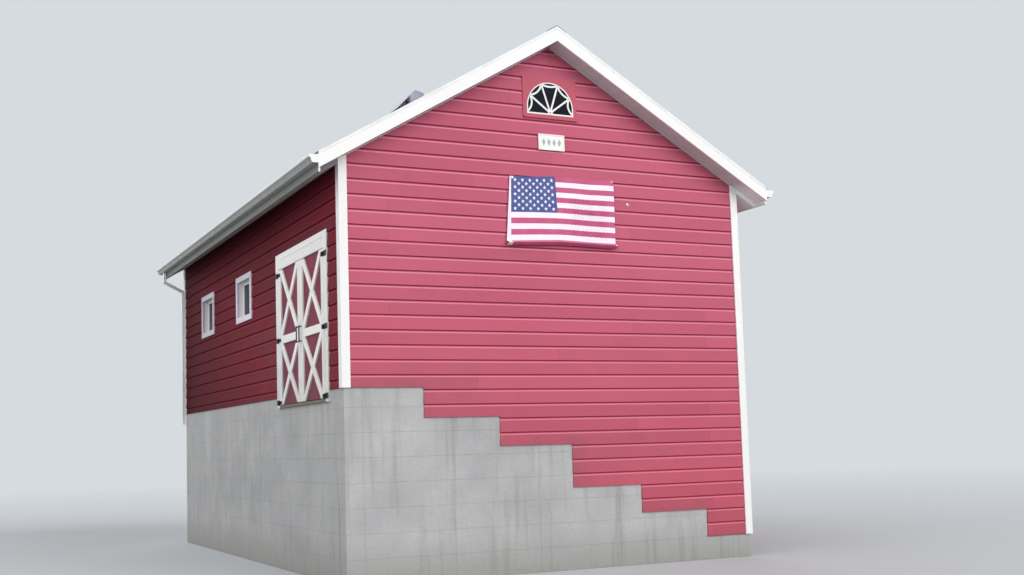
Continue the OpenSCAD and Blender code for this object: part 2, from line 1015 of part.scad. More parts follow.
// Point where a spoke at an angle from the hub meets the inside of the rim
function spoke_end(a) =
    let (rise = fan_stilt - hub_z,
        reach = rise * sin(a) + sqrt(pow(rim_in, 2) - pow(rise * cos(a), 2)))
    a == 0 ? [rim_in, 0] : a == 180 ? [-rim_in, 0] : [reach * cos(a), reach * sin(a)];

// Ring of the scallop that hangs between two spoke ends
module scallop_ring(p, q) {
    mid = (p + q) / 2;
    chord = norm(q - p);
    radius = (pow(chord / 2, 2) + pow(scallop, 2)) / (2 * scallop);
    normal = [q[1] - p[1], p[0] - q[0]] / chord;
    translate([0, hub_z])
        translate(mid + normal * (radius - scallop))
            difference() {
                circle(radius + scallop_w / 2, $fn = 72);
                circle(radius - scallop_w / 2, $fn = 72);
            }
}

module fan_lights_2d() {
    step = 180 / fan_lights;
    intersection() {
        fan_outline(-fan_rim / 2);
        union() {
            for (i = [0:fan_lights - 1])
                scallop_ring(spoke_end(i * step), spoke_end((i + 1) * step));
            translate([0, hub_z]) {
                circle(hub_r);
                for (i = [1:fan_lights - 1])
                    rotate(i * step)
                        translate([0, -spoke_w / 2])
                            square([fan_r + fan_stilt, spoke_w]);
            }
        }
    }
}

module fan_frame_2d() {
    difference() {
        fan_outline(0);
        difference() {
            fan_outline(-fan_rim);
            fan_lights_2d();
        }
    }
}

module fan_frame() {
    color(white)
        both_ends()
            along_y(-sheath_y - fan_t, -sheath_y)
                translate([0, fan_z])
                    fan_frame_2d();
}

module fan_glass() {
    color("#2b3138")
        both_ends()
            along_y(-sheath_y + seat, -sheath_y + seat + glass_t)
                fan_opening(-fan_rim / 2 - seat);
}

// Plaque and flag on the front gable

module plaque() {
    color("#eceae4")
        along_y(-siding_y - plaque_t, -siding_y)
            translate([-plaque_w / 2, plaque_top - plaque_h])
                square([plaque_w, plaque_h]);
}

module flag() {
    color("#b4434f")
        along_y(-siding_y - seat - flag_t, -siding_y - seat)
            translate([flag_x - flag_l / 2, flag_top - flag_h])
                square([flag_l, flag_h]);
}

foundation_left();
foundation_right();
foundation_front();
foundation_back();
front_wall();
back_wall();
left_wall_pier();
left_wall_over_door();
left_wall_rear();
right_wall();
front_siding();
back_siding();
left_siding();
right_siding();
corner_boards();
floor_deck();
floor_joists();
floor_ledger();
floor_girder();
floor_posts();
roof_deck_left();
roof_deck_right();
rafters();
ridge_board();
rake_boards();
rake_soffits();
eave_fascias();
eave_soffits();
eave_returns();
gutters();
downspouts();
roof_vent();
door_jambs();
door_header();
door_sill();
door_pintles();
near_leaf_panel();
near_leaf_frame();
near_leaf_straps();
near_leaf_handle();
far_leaf_panel();
far_leaf_frame();
far_leaf_straps();
far_leaf_handle();
window_casings();
window_sashes();
window_glass();
fan_panel();
fan_frame();
fan_glass();
plaque();
flag();
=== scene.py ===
"""Looks of the red barn: lapped siding, shingles, doors, trim and the flag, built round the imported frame."""
import math
import random

import bpy
from mathutils import Matrix, Vector
from mathutils.noise import noise as perlin


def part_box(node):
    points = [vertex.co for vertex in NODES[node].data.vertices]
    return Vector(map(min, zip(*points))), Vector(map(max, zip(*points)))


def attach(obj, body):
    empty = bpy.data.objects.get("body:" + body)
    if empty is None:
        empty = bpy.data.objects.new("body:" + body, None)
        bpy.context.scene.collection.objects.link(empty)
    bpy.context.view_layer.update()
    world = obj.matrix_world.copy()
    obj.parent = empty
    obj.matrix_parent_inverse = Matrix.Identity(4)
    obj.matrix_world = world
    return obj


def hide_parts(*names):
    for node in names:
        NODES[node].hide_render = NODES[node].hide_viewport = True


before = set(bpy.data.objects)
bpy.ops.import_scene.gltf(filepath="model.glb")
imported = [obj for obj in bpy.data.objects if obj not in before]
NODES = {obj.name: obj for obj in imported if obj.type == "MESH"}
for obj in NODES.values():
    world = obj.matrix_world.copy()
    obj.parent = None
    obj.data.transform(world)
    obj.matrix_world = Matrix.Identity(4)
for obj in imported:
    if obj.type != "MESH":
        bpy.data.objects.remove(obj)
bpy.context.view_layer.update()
SCENE = bpy.context.scene
rng = random.Random(7)

# Sizes in metres, as in the part's source
HALF_W, HALF_L = 3.050, 4.570
SHEATH_X, SHEATH_Y = 3.020, 4.540
IN_X, IN_Y = 2.900, 4.420
SIDING_T, CORNER_W, COURSE = 0.022, 0.112, 0.1905
CONCRETE_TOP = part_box("foundation_left")[1].z
FLOOR_Z, PLANK_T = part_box("floor_deck")[1].z, 0.038
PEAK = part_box("roof_deck_left")[1].z
SLOPE = 7 / 12
PITCH = math.atan(SLOPE)
COS, SIN = math.cos(PITCH), math.sin(PITCH)
EAVE_X, TAIL_X, RAKE_Y = 3.385, 3.360, 4.837
RAKE_H = 0.190
EAVE_SOFFIT_P = (0.022 + 0.184 + 0.012) / COS
DOOR_Y0, DOOR_Y1 = -3.930, -1.875
DOOR_TOP = FLOOR_Z + 1.943
LEAF_W, LEAF_H, LEAF_Z = 1.014, 1.925, FLOOR_Z + 0.009
STILE_W, BRACE_W, JAMB_W, HEADER_H = 0.110, 0.095, 0.125, 0.225
RAIL_Z = LEAF_Z + LEAF_H / 2 - 0.045
PANEL_D0, PANEL_D1, FRAME_D1 = 3.006, 3.028, 3.050
WIN_W, WIN_H, WIN_TOP, CASING_W, LINER_T = 0.930, 0.745, 4.465, 0.090, 0.020
WIN_YS = (4.650 - HALF_L, 7.130 - HALF_L)
FAN_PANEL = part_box("fan_panel")
GUTTER_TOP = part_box("gutters")[1].z
STEP_TOPS = [CONCRETE_TOP - COURSE * k for k in (0, 2, 4, 7, 9, 11)]
STEP_XS = [-3.2, *(-SHEATH_X + i * 0.88 * 2 * SHEATH_X / 5 for i in range(1, 6)), 3.2]


def roof(x, below=0.0):
    """Height of a plane parallel to the roof."""
    return PEAK - SLOPE * abs(x) - below


# The camera stands at the photograph's place
CAM_AT = Vector((-7.886349, -18.447816, 1.650310))
CAM_RIGHT = Vector((0.90955302, -0.41469055, -0.02729572))
CAM_UP = Vector((-0.01263950, -0.09325238, 0.99556227))
CAM_LOOK = Vector((0.41539566, 0.90517166, 0.09005946))
SENSOR, FOCAL_PX, WIDTH_PX = 36.0, 1198.006, 1024

cam_data = bpy.data.cameras.new("camera")
cam_data.sensor_width = SENSOR
cam_data.lens = SENSOR * FOCAL_PX / WIDTH_PX
# The photograph is cropped from a larger one, so its middle lies off the lens's axis
cam_data.shift_x, cam_data.shift_y = 0.055936, 0.050119
cam = bpy.data.objects.new("camera", cam_data)
SCENE.collection.objects.link(cam)
cam.matrix_world = Matrix.Translation(CAM_AT) @ Matrix((CAM_RIGHT, CAM_UP, -CAM_LOOK)).transposed().to_4x4()
SCENE.camera = cam


# Materials


def lin(r, g, b):
    """Linear colour from sRGB values of 0 to 255."""
    def one(c):
        c /= 255
        return c / 12.92 if c <= 0.04045 else ((c + 0.055) / 1.055) ** 2.4
    return (one(r), one(g), one(b), 1.0)


def toned(colour, factor, lift=0.0):
    """A lighter or darker colour; factor is one number or a tuple of three."""
    factors = factor if isinstance(factor, tuple) else (factor,) * 3
    return tuple(min(1.0, c * k + lift) for c, k in zip(colour, factors)) + (1,)


class Tree:
    """A node tree with short calls for its nodes."""

    def __init__(self, owner):
        owner.use_nodes = True
        self.tree = owner.node_tree
        self.tree.nodes.clear()

    def node(self, kind, inputs=(), **props):
        n = self.tree.nodes.new("ShaderNode" + kind)
        for key, value in props.items():
            setattr(n, key, value)
        for key, value in dict(inputs).items():
            if isinstance(value, bpy.types.NodeSocket):
                self.tree.links.new(value, n.inputs[key])
            else:
                n.inputs[key].default_value = value
        return n

    def math(self, op, a, b=0.0):
        return self.node("Math", {0: a, 1: b}, operation=op).outputs[0]

    def mix(self, factor, a, b, blend="MIX"):
        return self.node("Mix", {0: factor, 6: a, 7: b}, data_type="RGBA", blend_type=blend).outputs[2]

    def span(self, value, a, b, to_a=0.0, to_b=1.0):
        """value from a..b to to_a..to_b, clamped."""
        return self.node("MapRange", {0: value, 1: a, 2: b, 3: to_a, 4: to_b}).outputs[0]


GRAIN_STRETCH = {"board": (1, 14, 14), "x": (1, 14, 14), "y": (14, 1, 14), "z": (14, 14, 1)}


class Shader(Tree):
    """A material with a Principled shader, fed by place, normal and each piece's grain and board data."""

    def __init__(self, name, **constants):
        self.mat = bpy.data.materials.new(name)
        super().__init__(self.mat)
        self.bsdf = self.node("BsdfPrincipled", {key.replace("_", " "): v for key, v in constants.items()})
        self.node("OutputMaterial", {0: self.bsdf.outputs[0]})
        self.place = self.node("TexCoord").outputs["Object"]

    def xyz(self):
        return self.node("SeparateXYZ", {0: self.place}).outputs

    def normal(self):
        return self.node("SeparateXYZ", {0: self.node("NewGeometry").outputs["Normal"]}).outputs

    def attribute(self, name):
        return self.node("Attribute", attribute_name=name)

    def grain(self):
        return self.attribute("grain").outputs["Vector"]

    def board(self):
        """The board's own tone, how high up its course the point is, and the splash dirt on it."""
        return self.node("SeparateColor", {0: self.attribute("board").outputs["Color"]}).outputs

    def wood(self, axis):
        """Grain space: along, across and deep, by the piece's own grain or by an axis of the frame."""
        return self.scaled(self.grain() if axis == "board" else self.place, GRAIN_STRETCH[axis])

    def scaled(self, vector, scale):
        return self.node("Mapping", {0: vector, "Scale": scale}).outputs[0]

    def noise(self, vector, scale, detail=3.0, rough=0.55):
        inputs = {"Vector": vector, "Scale": scale, "Detail": detail, "Roughness": rough}
        return self.node("TexNoise", inputs).outputs[0]

    def cells(self, vector, scale):
        return self.node("TexVoronoi", {"Vector": vector, "Scale": scale}).outputs["Distance"]

    def times(self, a, b):
        return self.math("MULTIPLY", a, b)

    def off_middle(self, value):
        """How far a value that repeats each whole number is from the middle of its step."""
        return self.math("ABSOLUTE", self.math("SUBTRACT", self.math("FRACT", value), 0.5))

    def tinted(self, colour, tone):
        grey = self.node("CombineColor", {0: tone, 1: tone, 2: tone}).outputs[0]
        return self.mix(1.0, colour, grey, "MULTIPLY")

    def coats(self, colour, *coats):
        """Colours laid over one another: each with a value, where it starts and is full, strength, colour."""
        for value, start, full, strength, over in coats:
            colour = self.mix(self.span(value, start, full, 0.0, strength), colour, over)
        return colour

    def bump(self, height, strength, distance, under=None):
        inputs = {"Height": height, "Strength": strength, "Distance": distance}
        if under is not None:
            inputs["Normal"] = under
        return self.node("Bump", inputs).outputs[0]

    def done(self, colour, rough, normal):
        """The material; rough holds what span takes."""
        for key, value in (("Base Color", colour), ("Roughness", self.span(*rough)), ("Normal", normal)):
            self.tree.links.new(value, self.bsdf.inputs[key])
        return self.mat


RED, RED_SHADED, RED_DOOR = lin(188, 87, 105), lin(126, 40, 54), lin(136, 68, 86)
WHITE, SOFFIT = lin(240, 239, 238), lin(206, 207, 212)
RED_WORN, WHITE_WORN = lin(150, 120, 112), lin(176, 170, 160)
SAWN, SHEATHING = (lin(186, 158, 120), lin(122, 92, 60)), (lin(182, 152, 114), lin(120, 92, 62))
# How the painted highlight on a strip near a lapped board's top and the painted shadow over it differ from its
# paint
LAP_LIGHT, LAP_SHADE = (1.48, 2.35, 2.15), (0.66, 0.14, 0.34)
HIGH_FADE = (1.06, 1.28, 1.34, 1.0)


def painted(name, colour, axis, rough=0.45, tone=0.035, grain=0.5, dirt=0.06, worn=WHITE_WORN, wear=0.6,
            lap=False, shine=0.2, painted_shade=0.0, right=None, from_x=-0.1, ends=None):
    """Brushed paint on wood: grain under it, board tones, faded and dirty patches, worn specks.

    sheltered adds painted shade, darker towards the eaves and the back; right is its colour beyond from_x,
    and where it is lighter the colour before from_x holds painted shade; ends is that of faces square to
    the barn's length.
    """
    s = Shader(name, Specular_IOR_Level=shine)
    vec = s.wood(axis)
    fibres = s.noise(vec, 9.0, 6.0, 0.62)
    brush = s.noise(vec, 34.0, 3.0, 0.6)
    patch = s.noise(s.place, 2.6, 5.0, 0.62)
    col = s.coats(colour, (s.noise(s.place, 0.55, 4.0, 0.55), 0.35, 0.68, 0.32, toned(colour, 1.14, 0.012)),
                  (fibres, 0.62, 0.36, tone, toned(colour, 0.35)),
                  (patch, 0.52, 0.75, dirt, toned(colour, 0.55, 0.02)))
    if axis == "board":
        own, share, splash = s.board()
        col = s.tinted(col, s.span(own, 0.0, 1.0, 1.0 - tone, 1.0 + tone * 0.6))
        splashed = s.times(splash, s.span(patch, 0.3, 0.7, 0.15, 0.75))
        col = s.mix(splashed, col, toned(colour, 0.45, 0.05))
    if lap:
        # Painted light on each lapped board: a painted highlight on a strip below its top, a painted shadow at
        # its top under the board above, and painted shade on faces that look down
        lap_highlight = s.times(s.span(share, 0.785, 0.81), s.span(share, 0.895, 0.885))
        under, top = s.span(s.normal()[2], -0.35, -0.75, 0.0, 0.93), s.span(share, 0.895, 0.935, 0.0, 0.74)
        col = s.mix(s.times(lap_highlight, 0.8), col, toned(colour, LAP_LIGHT))
        col = s.mix(s.math("MAXIMUM", under, top), col, toned(colour, LAP_SHADE))
    if lap and not painted_shade:
        col = s.mix(s.span(s.xyz()[2], 0.6, 4.4, 0.0, 0.9), col, s.mix(1.0, col, HIGH_FADE, "MULTIPLY"))
    # Painted shade: darker towards the eaves and towards the back, in a deep copy of the paint
    if painted_shade:
        _, y, z = s.xyz()
        high = s.times(s.span(z, 3.3, 4.95, 0.0, painted_shade), s.span(y, -4.6, -1.4, 0.35, 1.0))
        far = s.span(y, -1.7, 4.1, 0.0, 1.1 * painted_shade)
        col = s.mix(s.math("MAXIMUM", high, far), col, toned(colour, 0.22))
    # A lighter copy of the paint beyond from_x; where a material uses it, the colour before it holds painted
    # shade
    if right:
        other = s.coats(right, (patch, 0.52, 0.75, dirt, toned(right, 0.7)))
        col = s.mix(s.span(s.xyz()[0], from_x, from_x + 0.2), col, other)
    if ends:
        col = s.coats(col, (s.math("ABSOLUTE", s.normal()[1]), 0.6, 0.8, 1.0, ends))
    if wear:
        specks = s.span(s.noise(vec, 22.0, 5.0, 0.7), 0.66, 0.70)
        where = s.span(s.noise(s.place, 1.4, 2.0, 0.5), 0.52, 0.66, 0.0, wear)
        col = s.mix(s.times(specks, where), col, worn)
    relief = s.bump(brush, 0.25 * grain, 0.0012, s.bump(fibres, 0.35 * grain, 0.004))
    return s.done(col, (brush, 0.3, 0.7, rough - 0.07, rough + 0.10), relief)


def timber(name, axis, light, dark, rough=0.75, boards=None):
    """Bare sawn wood: grain, rings and knots; boards draws joints up the height at that spacing."""
    s = Shader(name)
    vec = s.wood(axis)
    fibres = s.noise(vec, 10.0, 7.0, 0.65)
    knots = s.cells(s.scaled(vec, (1, 0.25, 0.25)), 2.4)
    rings = s.noise(vec, 2.2, 3.0, 0.5)
    col = s.coats(dark, (fibres, 0.3, 0.7, 1.0, light), (rings, 0.42, 0.62, 0.35, toned(light, 0.6)),
                  (knots, 0.10, 0.03, 0.7, toned(dark, 0.25)))
    if axis == "board":
        col = s.tinted(col, s.span(s.board()[0], 0.0, 1.0, 0.72, 1.12))
    height = fibres
    if boards:
        row = s.math("DIVIDE", s.xyz()[2], boards)
        joint = s.span(s.off_middle(row), 0.485, 0.5)
        tone = s.node("TexWhiteNoise", {"W": s.math("FLOOR", row)}, noise_dimensions="1D").outputs[0]
        col = s.mix(joint, s.tinted(col, s.span(tone, 0.0, 1.0, 0.78, 1.1)), toned(dark, 0.12))
        height = s.math("SUBTRACT", fibres, s.times(joint, 2.0))
    return s.done(col, (fibres, 0.3, 0.7, rough - 0.08, rough + 0.1), s.bump(height, 0.45, 0.003))


def concrete_material():
    """Board-formed concrete: form lines, pour bands, water stains and pinholes."""
    s = Shader("concrete_cast")
    x, y, z = s.xyz()
    clouds = s.noise(s.place, 1.3, 6.0, 0.6)
    fine = s.noise(s.place, 26.0, 5.0, 0.65)
    runs = s.noise(s.scaled(s.place, (5, 5, 0.35)), 1.6, 4.0, 0.6)
    line = s.math("MAXIMUM", s.span(s.off_middle(s.math("DIVIDE", z, 0.31)), 0.488, 0.5),
                  s.span(s.off_middle(s.math("DIVIDE", s.math("ADD", x, y), 1.22)), 0.4965, 0.5))
    pit = s.times(s.span(s.cells(s.place, 24.0), 0.11, 0.06), s.span(clouds, 0.45, 0.6))
    damp = s.times(s.span(z, 0.55, 0.0, 0.0, 0.55), s.span(clouds, 0.3, 0.7, 0.4, 1.0))
    col = s.coats(lin(168, 168, 170), (clouds, 0.3, 0.7, 1.0, lin(192, 192, 193)),
                  (fine, 0.35, 0.7, 0.25, lin(146, 144, 143)), (runs, 0.52, 0.72, 0.35, lin(124, 119, 112)),
                  (damp, 0.0, 1.0, 1.0, lin(112, 108, 90)), (line, 0.0, 1.0, 0.45, lin(120, 114, 106)),
                  (pit, 0.0, 1.0, 0.7, lin(84, 80, 74)))
    height = s.math("SUBTRACT", s.times(fine, 0.35), s.math("ADD", line, s.times(pit, 0.8)))
    return s.done(col, (fine, 0.3, 0.7, 0.8, 0.95), s.bump(height, 0.5, 0.004))


def shingle_material():
    """Weathered asphalt shingles: granules, a tone for each tab, streaks down the slope and darker butts."""
    s = Shader("shingle_granules")
    own, share, _ = s.board()
    granules = s.noise(s.grain(), 420.0, 2.0, 0.7)
    streaks = s.noise(s.scaled(s.place, (0.5, 5.0, 0.5)), 1.5, 4.0, 0.6)
    col = s.coats(lin(74, 72, 73), (own, 0.0, 1.0, 1.0, lin(104, 101, 100)),
                  (granules, 0.32, 0.68, 0.55, lin(136, 132, 129)),
                  (granules, 0.42, 0.30, 0.5, lin(44, 43, 45)),
                  (s.noise(s.place, 1.1, 5.0, 0.6), 0.48, 0.72, 0.4, lin(70, 71, 66)),
                  (streaks, 0.55, 0.75, 0.35, lin(50, 51, 50)), (share, 0.06, 0.0, 0.5, lin(40, 39, 40)))
    return s.done(col, (granules, 0.2, 0.8, 0.8, 0.97), s.bump(granules, 0.5, 0.0015))


def metal(name, colour, rough, metallic, dirt, dark, bump=0.1, scale=3.0, mouth=None):
    """Formed or cast metal with an uneven skin and dirt; mouth puts painted shade on upright faces at the low
    end of x.
    """
    s = Shader(name, Metallic=metallic)
    skin = s.noise(s.place, scale * 8, 3.0, 0.5)
    grime = s.noise(s.place, scale, 6.0, 0.65)
    col = s.coats(colour, (grime, 0.48, 0.74, dirt, dark), (skin, 0.35, 0.65, 0.12, toned(colour, 0.7)))
    if mouth:
        dark_x, clear_x, inside = mouth
        upright = s.span(s.normal()[2], 0.6, 0.4)
        col = s.mix(s.times(upright, s.span(s.xyz()[0], clear_x, dark_x)), col, inside)
    return s.done(col, (grime, 0.35, 0.7, rough, min(1.0, rough + 0.2)), s.bump(skin, bump, 0.002))


def gutter_metal():
    """White gutter metal: painted shade on the long outer faces below the lip, deeper on faces that look down,
    with faint streaks in it; the lip and the end caps stay white.
    """
    s = Shader("gutter_white")
    streaks = s.noise(s.scaled(s.place, (1.0, 9.0, 0.6)), 2.4, 5.0, 0.65)
    fine = s.noise(s.place, 18.0, 3.0, 0.5)
    long_face = s.span(s.math("ABSOLUTE", s.normal()[1]), 0.7, 0.3)
    under_lip = s.span(s.xyz()[2], GUTTER_TOP - 0.029, GUTTER_TOP - 0.032)
    facing = s.span(s.normal()[2], -0.25, -0.60, 1.0, 0.62)
    # The grime mask is painted shade, with faint streaks in it
    grime = s.times(s.times(long_face, under_lip), s.times(facing, s.span(streaks, 0.30, 0.62, 0.90, 1.0)))
    col = s.coats(lin(234, 236, 237), (fine, 0.4, 0.7, 0.10, lin(200, 200, 198)),
                  (grime, 0.0, 1.0, 1.0, lin(122, 125, 122)))
    return s.done(col, (streaks, 0.35, 0.7, 0.38, 0.60), s.bump(fine, 0.06, 0.002))


def pane(name, colour, haze, shine, tint):
    """Old glass that looks dark from outside, with a little dust in patches."""
    # The dark colour is painted shade: it stands for the dim barn behind the glass
    s = Shader(name, Metallic=0.0, Specular_IOR_Level=shine, Specular_Tint=tint)
    dust = s.noise(s.place, 5.0, 5.0, 0.65)
    col = s.coats(colour, (dust, 0.45, 0.75, haze, lin(120, 124, 128)))
    return s.done(col, (dust, 0.35, 0.75, 0.05, 0.22), s.bump(s.noise(s.place, 3.0, 1.0, 0.4), 0.08, 0.01))


def cloth(name, colour, deep):
    """Woven nylon: fine warp and weft, seams that darken slightly, soft sheen."""
    s = Shader(name, Sheen_Weight=0.25, Sheen_Roughness=0.4)
    threads = s.node("SeparateXYZ", {0: s.grain()}).outputs
    weave = s.times(*(s.math("SINE", s.times(threads[k], 4200.0)) for k in (0, 1)))
    soft = s.noise(s.grain(), 7.0, 4.0, 0.6)
    col = s.coats(colour, (soft, 0.35, 0.7, 0.22, deep), (weave, -1.0, 1.0, 0.10, deep),
                  (s.board()[1], 0.0, 1.0, 0.35, deep))
    return s.done(col, (soft, 0.3, 0.7, 0.6, 0.75), s.bump(weave, 0.12, 0.0004))


reds = {"rough": 0.70, "grain": 0.8, "dirt": 0.10, "worn": RED_WORN}
greys = {"rough": 0.6, "tone": 0.05, "dirt": 0.10, "wear": 0.3}
# Along the vent's x, where the painted shade in its open low end is full and where it ends
vent_x = [corner.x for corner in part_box("roof_vent")]
vent_shade_x = [vent_x[0] + share * (vent_x[1] - vent_x[0]) for share in (0.36, 0.44)]
mats = {
    "siding": painted("red_lapped", RED, "board", tone=0.06, wear=0.5, lap=True, shine=0.08, **reds),
    # The left wall's paint: a shaded copy of the red, with painted shade towards the eaves and the back
    "siding_shaded": painted("red_lapped_shaded", RED_SHADED, "board", 0.74, 0.08, 0.8, 0.14, RED_WORN, 0.4,
                             lap=True, shine=0.05, painted_shade=0.8),
    "red_board": painted("red_planks", RED_DOOR, "board", 0.70, 0.09, 0.8, 0.12, RED_WORN, 0.4, shine=0.06),
    "red_x": painted("red_painted_x", RED, "x", 0.58, 0.05, 0.6, 0.10, RED_WORN, 0.4),
    "white_board": painted("white_boards", WHITE, "board"),
    # Window boards and liners: lavender with painted shade towards the back on the left wall, plain white on
    # the right wall
    "white_window": painted("white_window_boards", lin(242, 233, 252), "board", dirt=0.08,
                            painted_shade=0.7, right=WHITE),
    "white_liner": painted("white_window_liners", lin(252, 248, 255), "board", tone=0.03, dirt=0.05, wear=0.4,
                           painted_shade=0.4, right=WHITE),
    # Soffits and eave returns: darker before from_x and lighter beyond it, which is painted shade on the left
    # and painted light on the right
    "soffit_board": painted("soffit_boards", SOFFIT, "board", right=lin(252, 252, 255), from_x=2.95, **greys),
    "soffit_x": painted("soffit_painted", lin(142, 134, 141), "x", 0.6, 0.04, dirt=0.10, wear=0.3,
                        right=lin(252, 250, 254)),
    "soffit_eave": painted("soffit_under_eaves", SOFFIT, "board", right=lin(254, 254, 255), **greys),
    # Fascias: grey long faces on the left are painted shade; lighter on the right and white at the ends
    "fascia": painted("fascia_paint", lin(126, 129, 127), "y", 0.6, 0.05, dirt=0.30, wear=0.5,
                      right=lin(222, 220, 222), ends=WHITE),
    "inlay": painted("grey_inlay", lin(176, 178, 182), "x", 0.6, 0.03, 0.4, 0.08, wear=0.0),
    "floor": timber("floor_boards", "board", lin(168, 140, 106), lin(104, 78, 52), 0.7),
    "roof_boards": timber("roof_sheathing", "board", lin(180, 150, 112), lin(116, 88, 58)),
    "wall_inside": timber("wall_sheathing_x", "x", *SHEATHING, 0.78, COURSE),
    "wall_inside_y": timber("wall_sheathing_y", "y", *SHEATHING, 0.78, COURSE),
    "sill": timber("sill_weathered", "y", lin(140, 130, 118), lin(92, 82, 70), 0.8),
    "concrete": concrete_material(),
    "shingle": shingle_material(),
    "gutter": gutter_metal(),
    "white_metal": metal("white_aluminium", lin(232, 233, 234), 0.35, 0.0, 0.25, lin(150, 148, 142)),
    "vent": metal("vent_sheet", lin(158, 154, 176), 0.45, 0.2, 0.30, lin(104, 98, 116),
                  mouth=(*vent_shade_x, lin(42, 36, 46))),
    "iron": metal("black_iron", lin(34, 33, 34), 0.5, 0.4, 0.3, lin(70, 44, 32), 0.35, 9.0),
    "glass": pane("window_pane", lin(26, 30, 42), 0.10, 0.08, (0.85, 0.95, 1.0, 1)),
    "fan_glass": pane("fan_pane", lin(8, 9, 16), 0.04, 0.05, (0.66, 0.72, 1.0, 1)),
    "flag_red": cloth("cloth_red", lin(200, 88, 130), lin(158, 48, 92)),
    "flag_white": cloth("cloth_white", lin(252, 240, 252), lin(232, 214, 234)),
    "flag_navy": cloth("cloth_navy", lin(70, 84, 150), lin(48, 58, 116)),
    "star": cloth("cloth_star", lin(246, 246, 250), lin(210, 214, 232)),
}
for axis in "xyz":
    mats["timber_" + axis] = timber("timber_sawn_" + axis, axis, *SAWN)
for axis in "xz":
    mats["white_" + axis] = painted("white_painted_" + axis, WHITE, axis, tone=0.03)

# Mesh code


class Face:
    """A flat face of the barn: u to the right and v up as seen from outside, d outwards."""

    def __init__(self, origin, u, v, n):
        self.o, self.u, self.v, self.n = (Vector(x) for x in (origin, u, v, n))

    def at(self, u, v, d):
        return self.o + self.u * u + self.v * v + self.n * d


FRONT, BACK, LEFT, RIGHT = (Face((0, 0, 0), (-y, x, 0), (0, 0, 1), (x, y, 0))
                            for x, y in ((0, -1), (0, 1), (-1, 0), (1, 0)))
FLOOR = Face((0, 0, 0), (1, 0, 0), (0, 1, 0), (0, 0, 1))
ROOF_L, ROOF_R = (Face((s * EAVE_X, 0, roof(EAVE_X)), (0, s, 0), (-s * COS, 0, SIN), (s * SIN, 0, COS))
                  for s in (-1, 1))


def underside(side, below):
    """Face of a plane under the roof, from the ridge down the slope; side is -1 for left and 1 for right."""
    return Face((0, 0, PEAK - below), (0, side, 0), (side * COS, 0, -SIN), (-side * SIN, 0, -COS))


class Piece:
    """Closed solids gathered into one mesh, with a grain vector and board data at each point."""

    def __init__(self):
        self.points, self.faces, self.slots, self.grain, self.board = [], [], [], [], []

    def solid(self, points, faces, grain=None, data=None, slot=0):
        """Adds a solid; its grain is its points' own places and its board data plain where none are given."""
        base = len(self.points)
        self.points += points
        self.grain += grain or [tuple(p) for p in points]
        self.board += data or [(0.5, 0.5, 0.0)] * len(points)
        self.faces += [[base + i for i in f] for f in faces]
        self.slots += [slot] * len(faces)

    def make(self, name, materials, slot, body="root", replaces=(), smooth=None):
        """The finished object; materials are names in mats, and smooth is an angle in degrees."""
        mesh = bpy.data.meshes.new(name)
        mesh.from_pydata([tuple(p) for p in self.points], [], self.faces)
        for material in materials:
            mesh.materials.append(mats[material])
        mesh.polygons.foreach_set("material_index", self.slots)
        grain = mesh.attributes.new("grain", "FLOAT_VECTOR", "POINT")
        grain.data.foreach_set("vector", [c for g in self.grain for c in g])
        board_data = mesh.attributes.new("board", "FLOAT_COLOR", "POINT")
        board_data.data.foreach_set("color", [c for b in self.board for c in (*b, 1.0)])
        mesh.update()
        obj = bpy.data.objects.new(name, mesh)
        SCENE.collection.objects.link(obj)
        if smooth:
            mesh.shade_smooth()
            mesh.set_sharp_from_angle(angle=math.radians(smooth))
        if replaces:
            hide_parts(*replaces)
        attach(obj, body)
        return obj


def inset(outline, c):
    """A convex counter-clockwise outline moved inwards by c."""
    n, out = len(outline), []
    for i in range(n):
        (ax, ay), (bx, by), (cx, cy) = outline[i - 1], outline[i], outline[(i + 1) % n]
        e0, e1 = Vector((bx - ax, by - ay)).normalized(), Vector((cx - bx, cy - by)).normalized()
        n0, n1 = Vector((-e0.y, e0.x)), Vector((-e1.y, e1.x))
        move = (n0 + n1) * (c / max(0.2, 1 + n0.dot(n1)))
        out.append((bx + move.x, by + move.y))
    return out


def rect(u0, u1, v0, v1):
    return [(u0, v0), (u1, v0), (u1, v1), (u0, v1)]


def clip(outline, a, b, c):
    """The part of a convex outline where a*u + b*v <= c."""
    out = []
    for p, q in zip(outline, outline[1:] + outline[:1]):
        fp, fq = a * p[0] + b * p[1] - c, a * q[0] + b * q[1] - c
        if fp <= 0:
            out.append(p)
        if (fp < 0 < fq) or (fq < 0 < fp):
            t = fp / (fp - fq)
            out.append((p[0] + t * (q[0] - p[0]), p[1] + t * (q[1] - p[1])))
    return out


def skin(rings, sides, base=0):
    """Quads between each ring of points and the next one."""
    starts = range(base, base + (rings - 1) * sides, sides)
    return [[k + i, k + j, k + sides + j, k + sides + i]
            for k in starts for i, j in zip(range(sides), [*range(1, sides), 0])]


def pair(mid, way, near, far):
    """Two places on one side of a middle, the lower one first; way is -1 or 1."""
    return sorted((mid + way * near, mid + way * far))


def grained(places, along=(1, 0)):
    """Grain of (u, v, d) places of a board that runs along a direction, cut from some place in the wood."""
    a, b = along
    shift = [rng.uniform(0, 40) for _ in range(3)]
    return [(u * a + v * b + shift[0], v * a - u * b + shift[1], d + shift[2]) for u, v, d in places]


def lay(piece, face, places, faces, along=(1, 0), data=lambda v: (0.5, 0.0), slot=0):
    """Adds a closed solid of (u, v, d) places; data gives the share of a course and the dirt at a height."""
    grain, tone = grained(places, along), rng.random()
    piece.solid([face.at(*p) for p in places], faces, grain, [(tone, *data(v)) for _, v, _ in places], slot)


SPLASH_FALL = 0.16


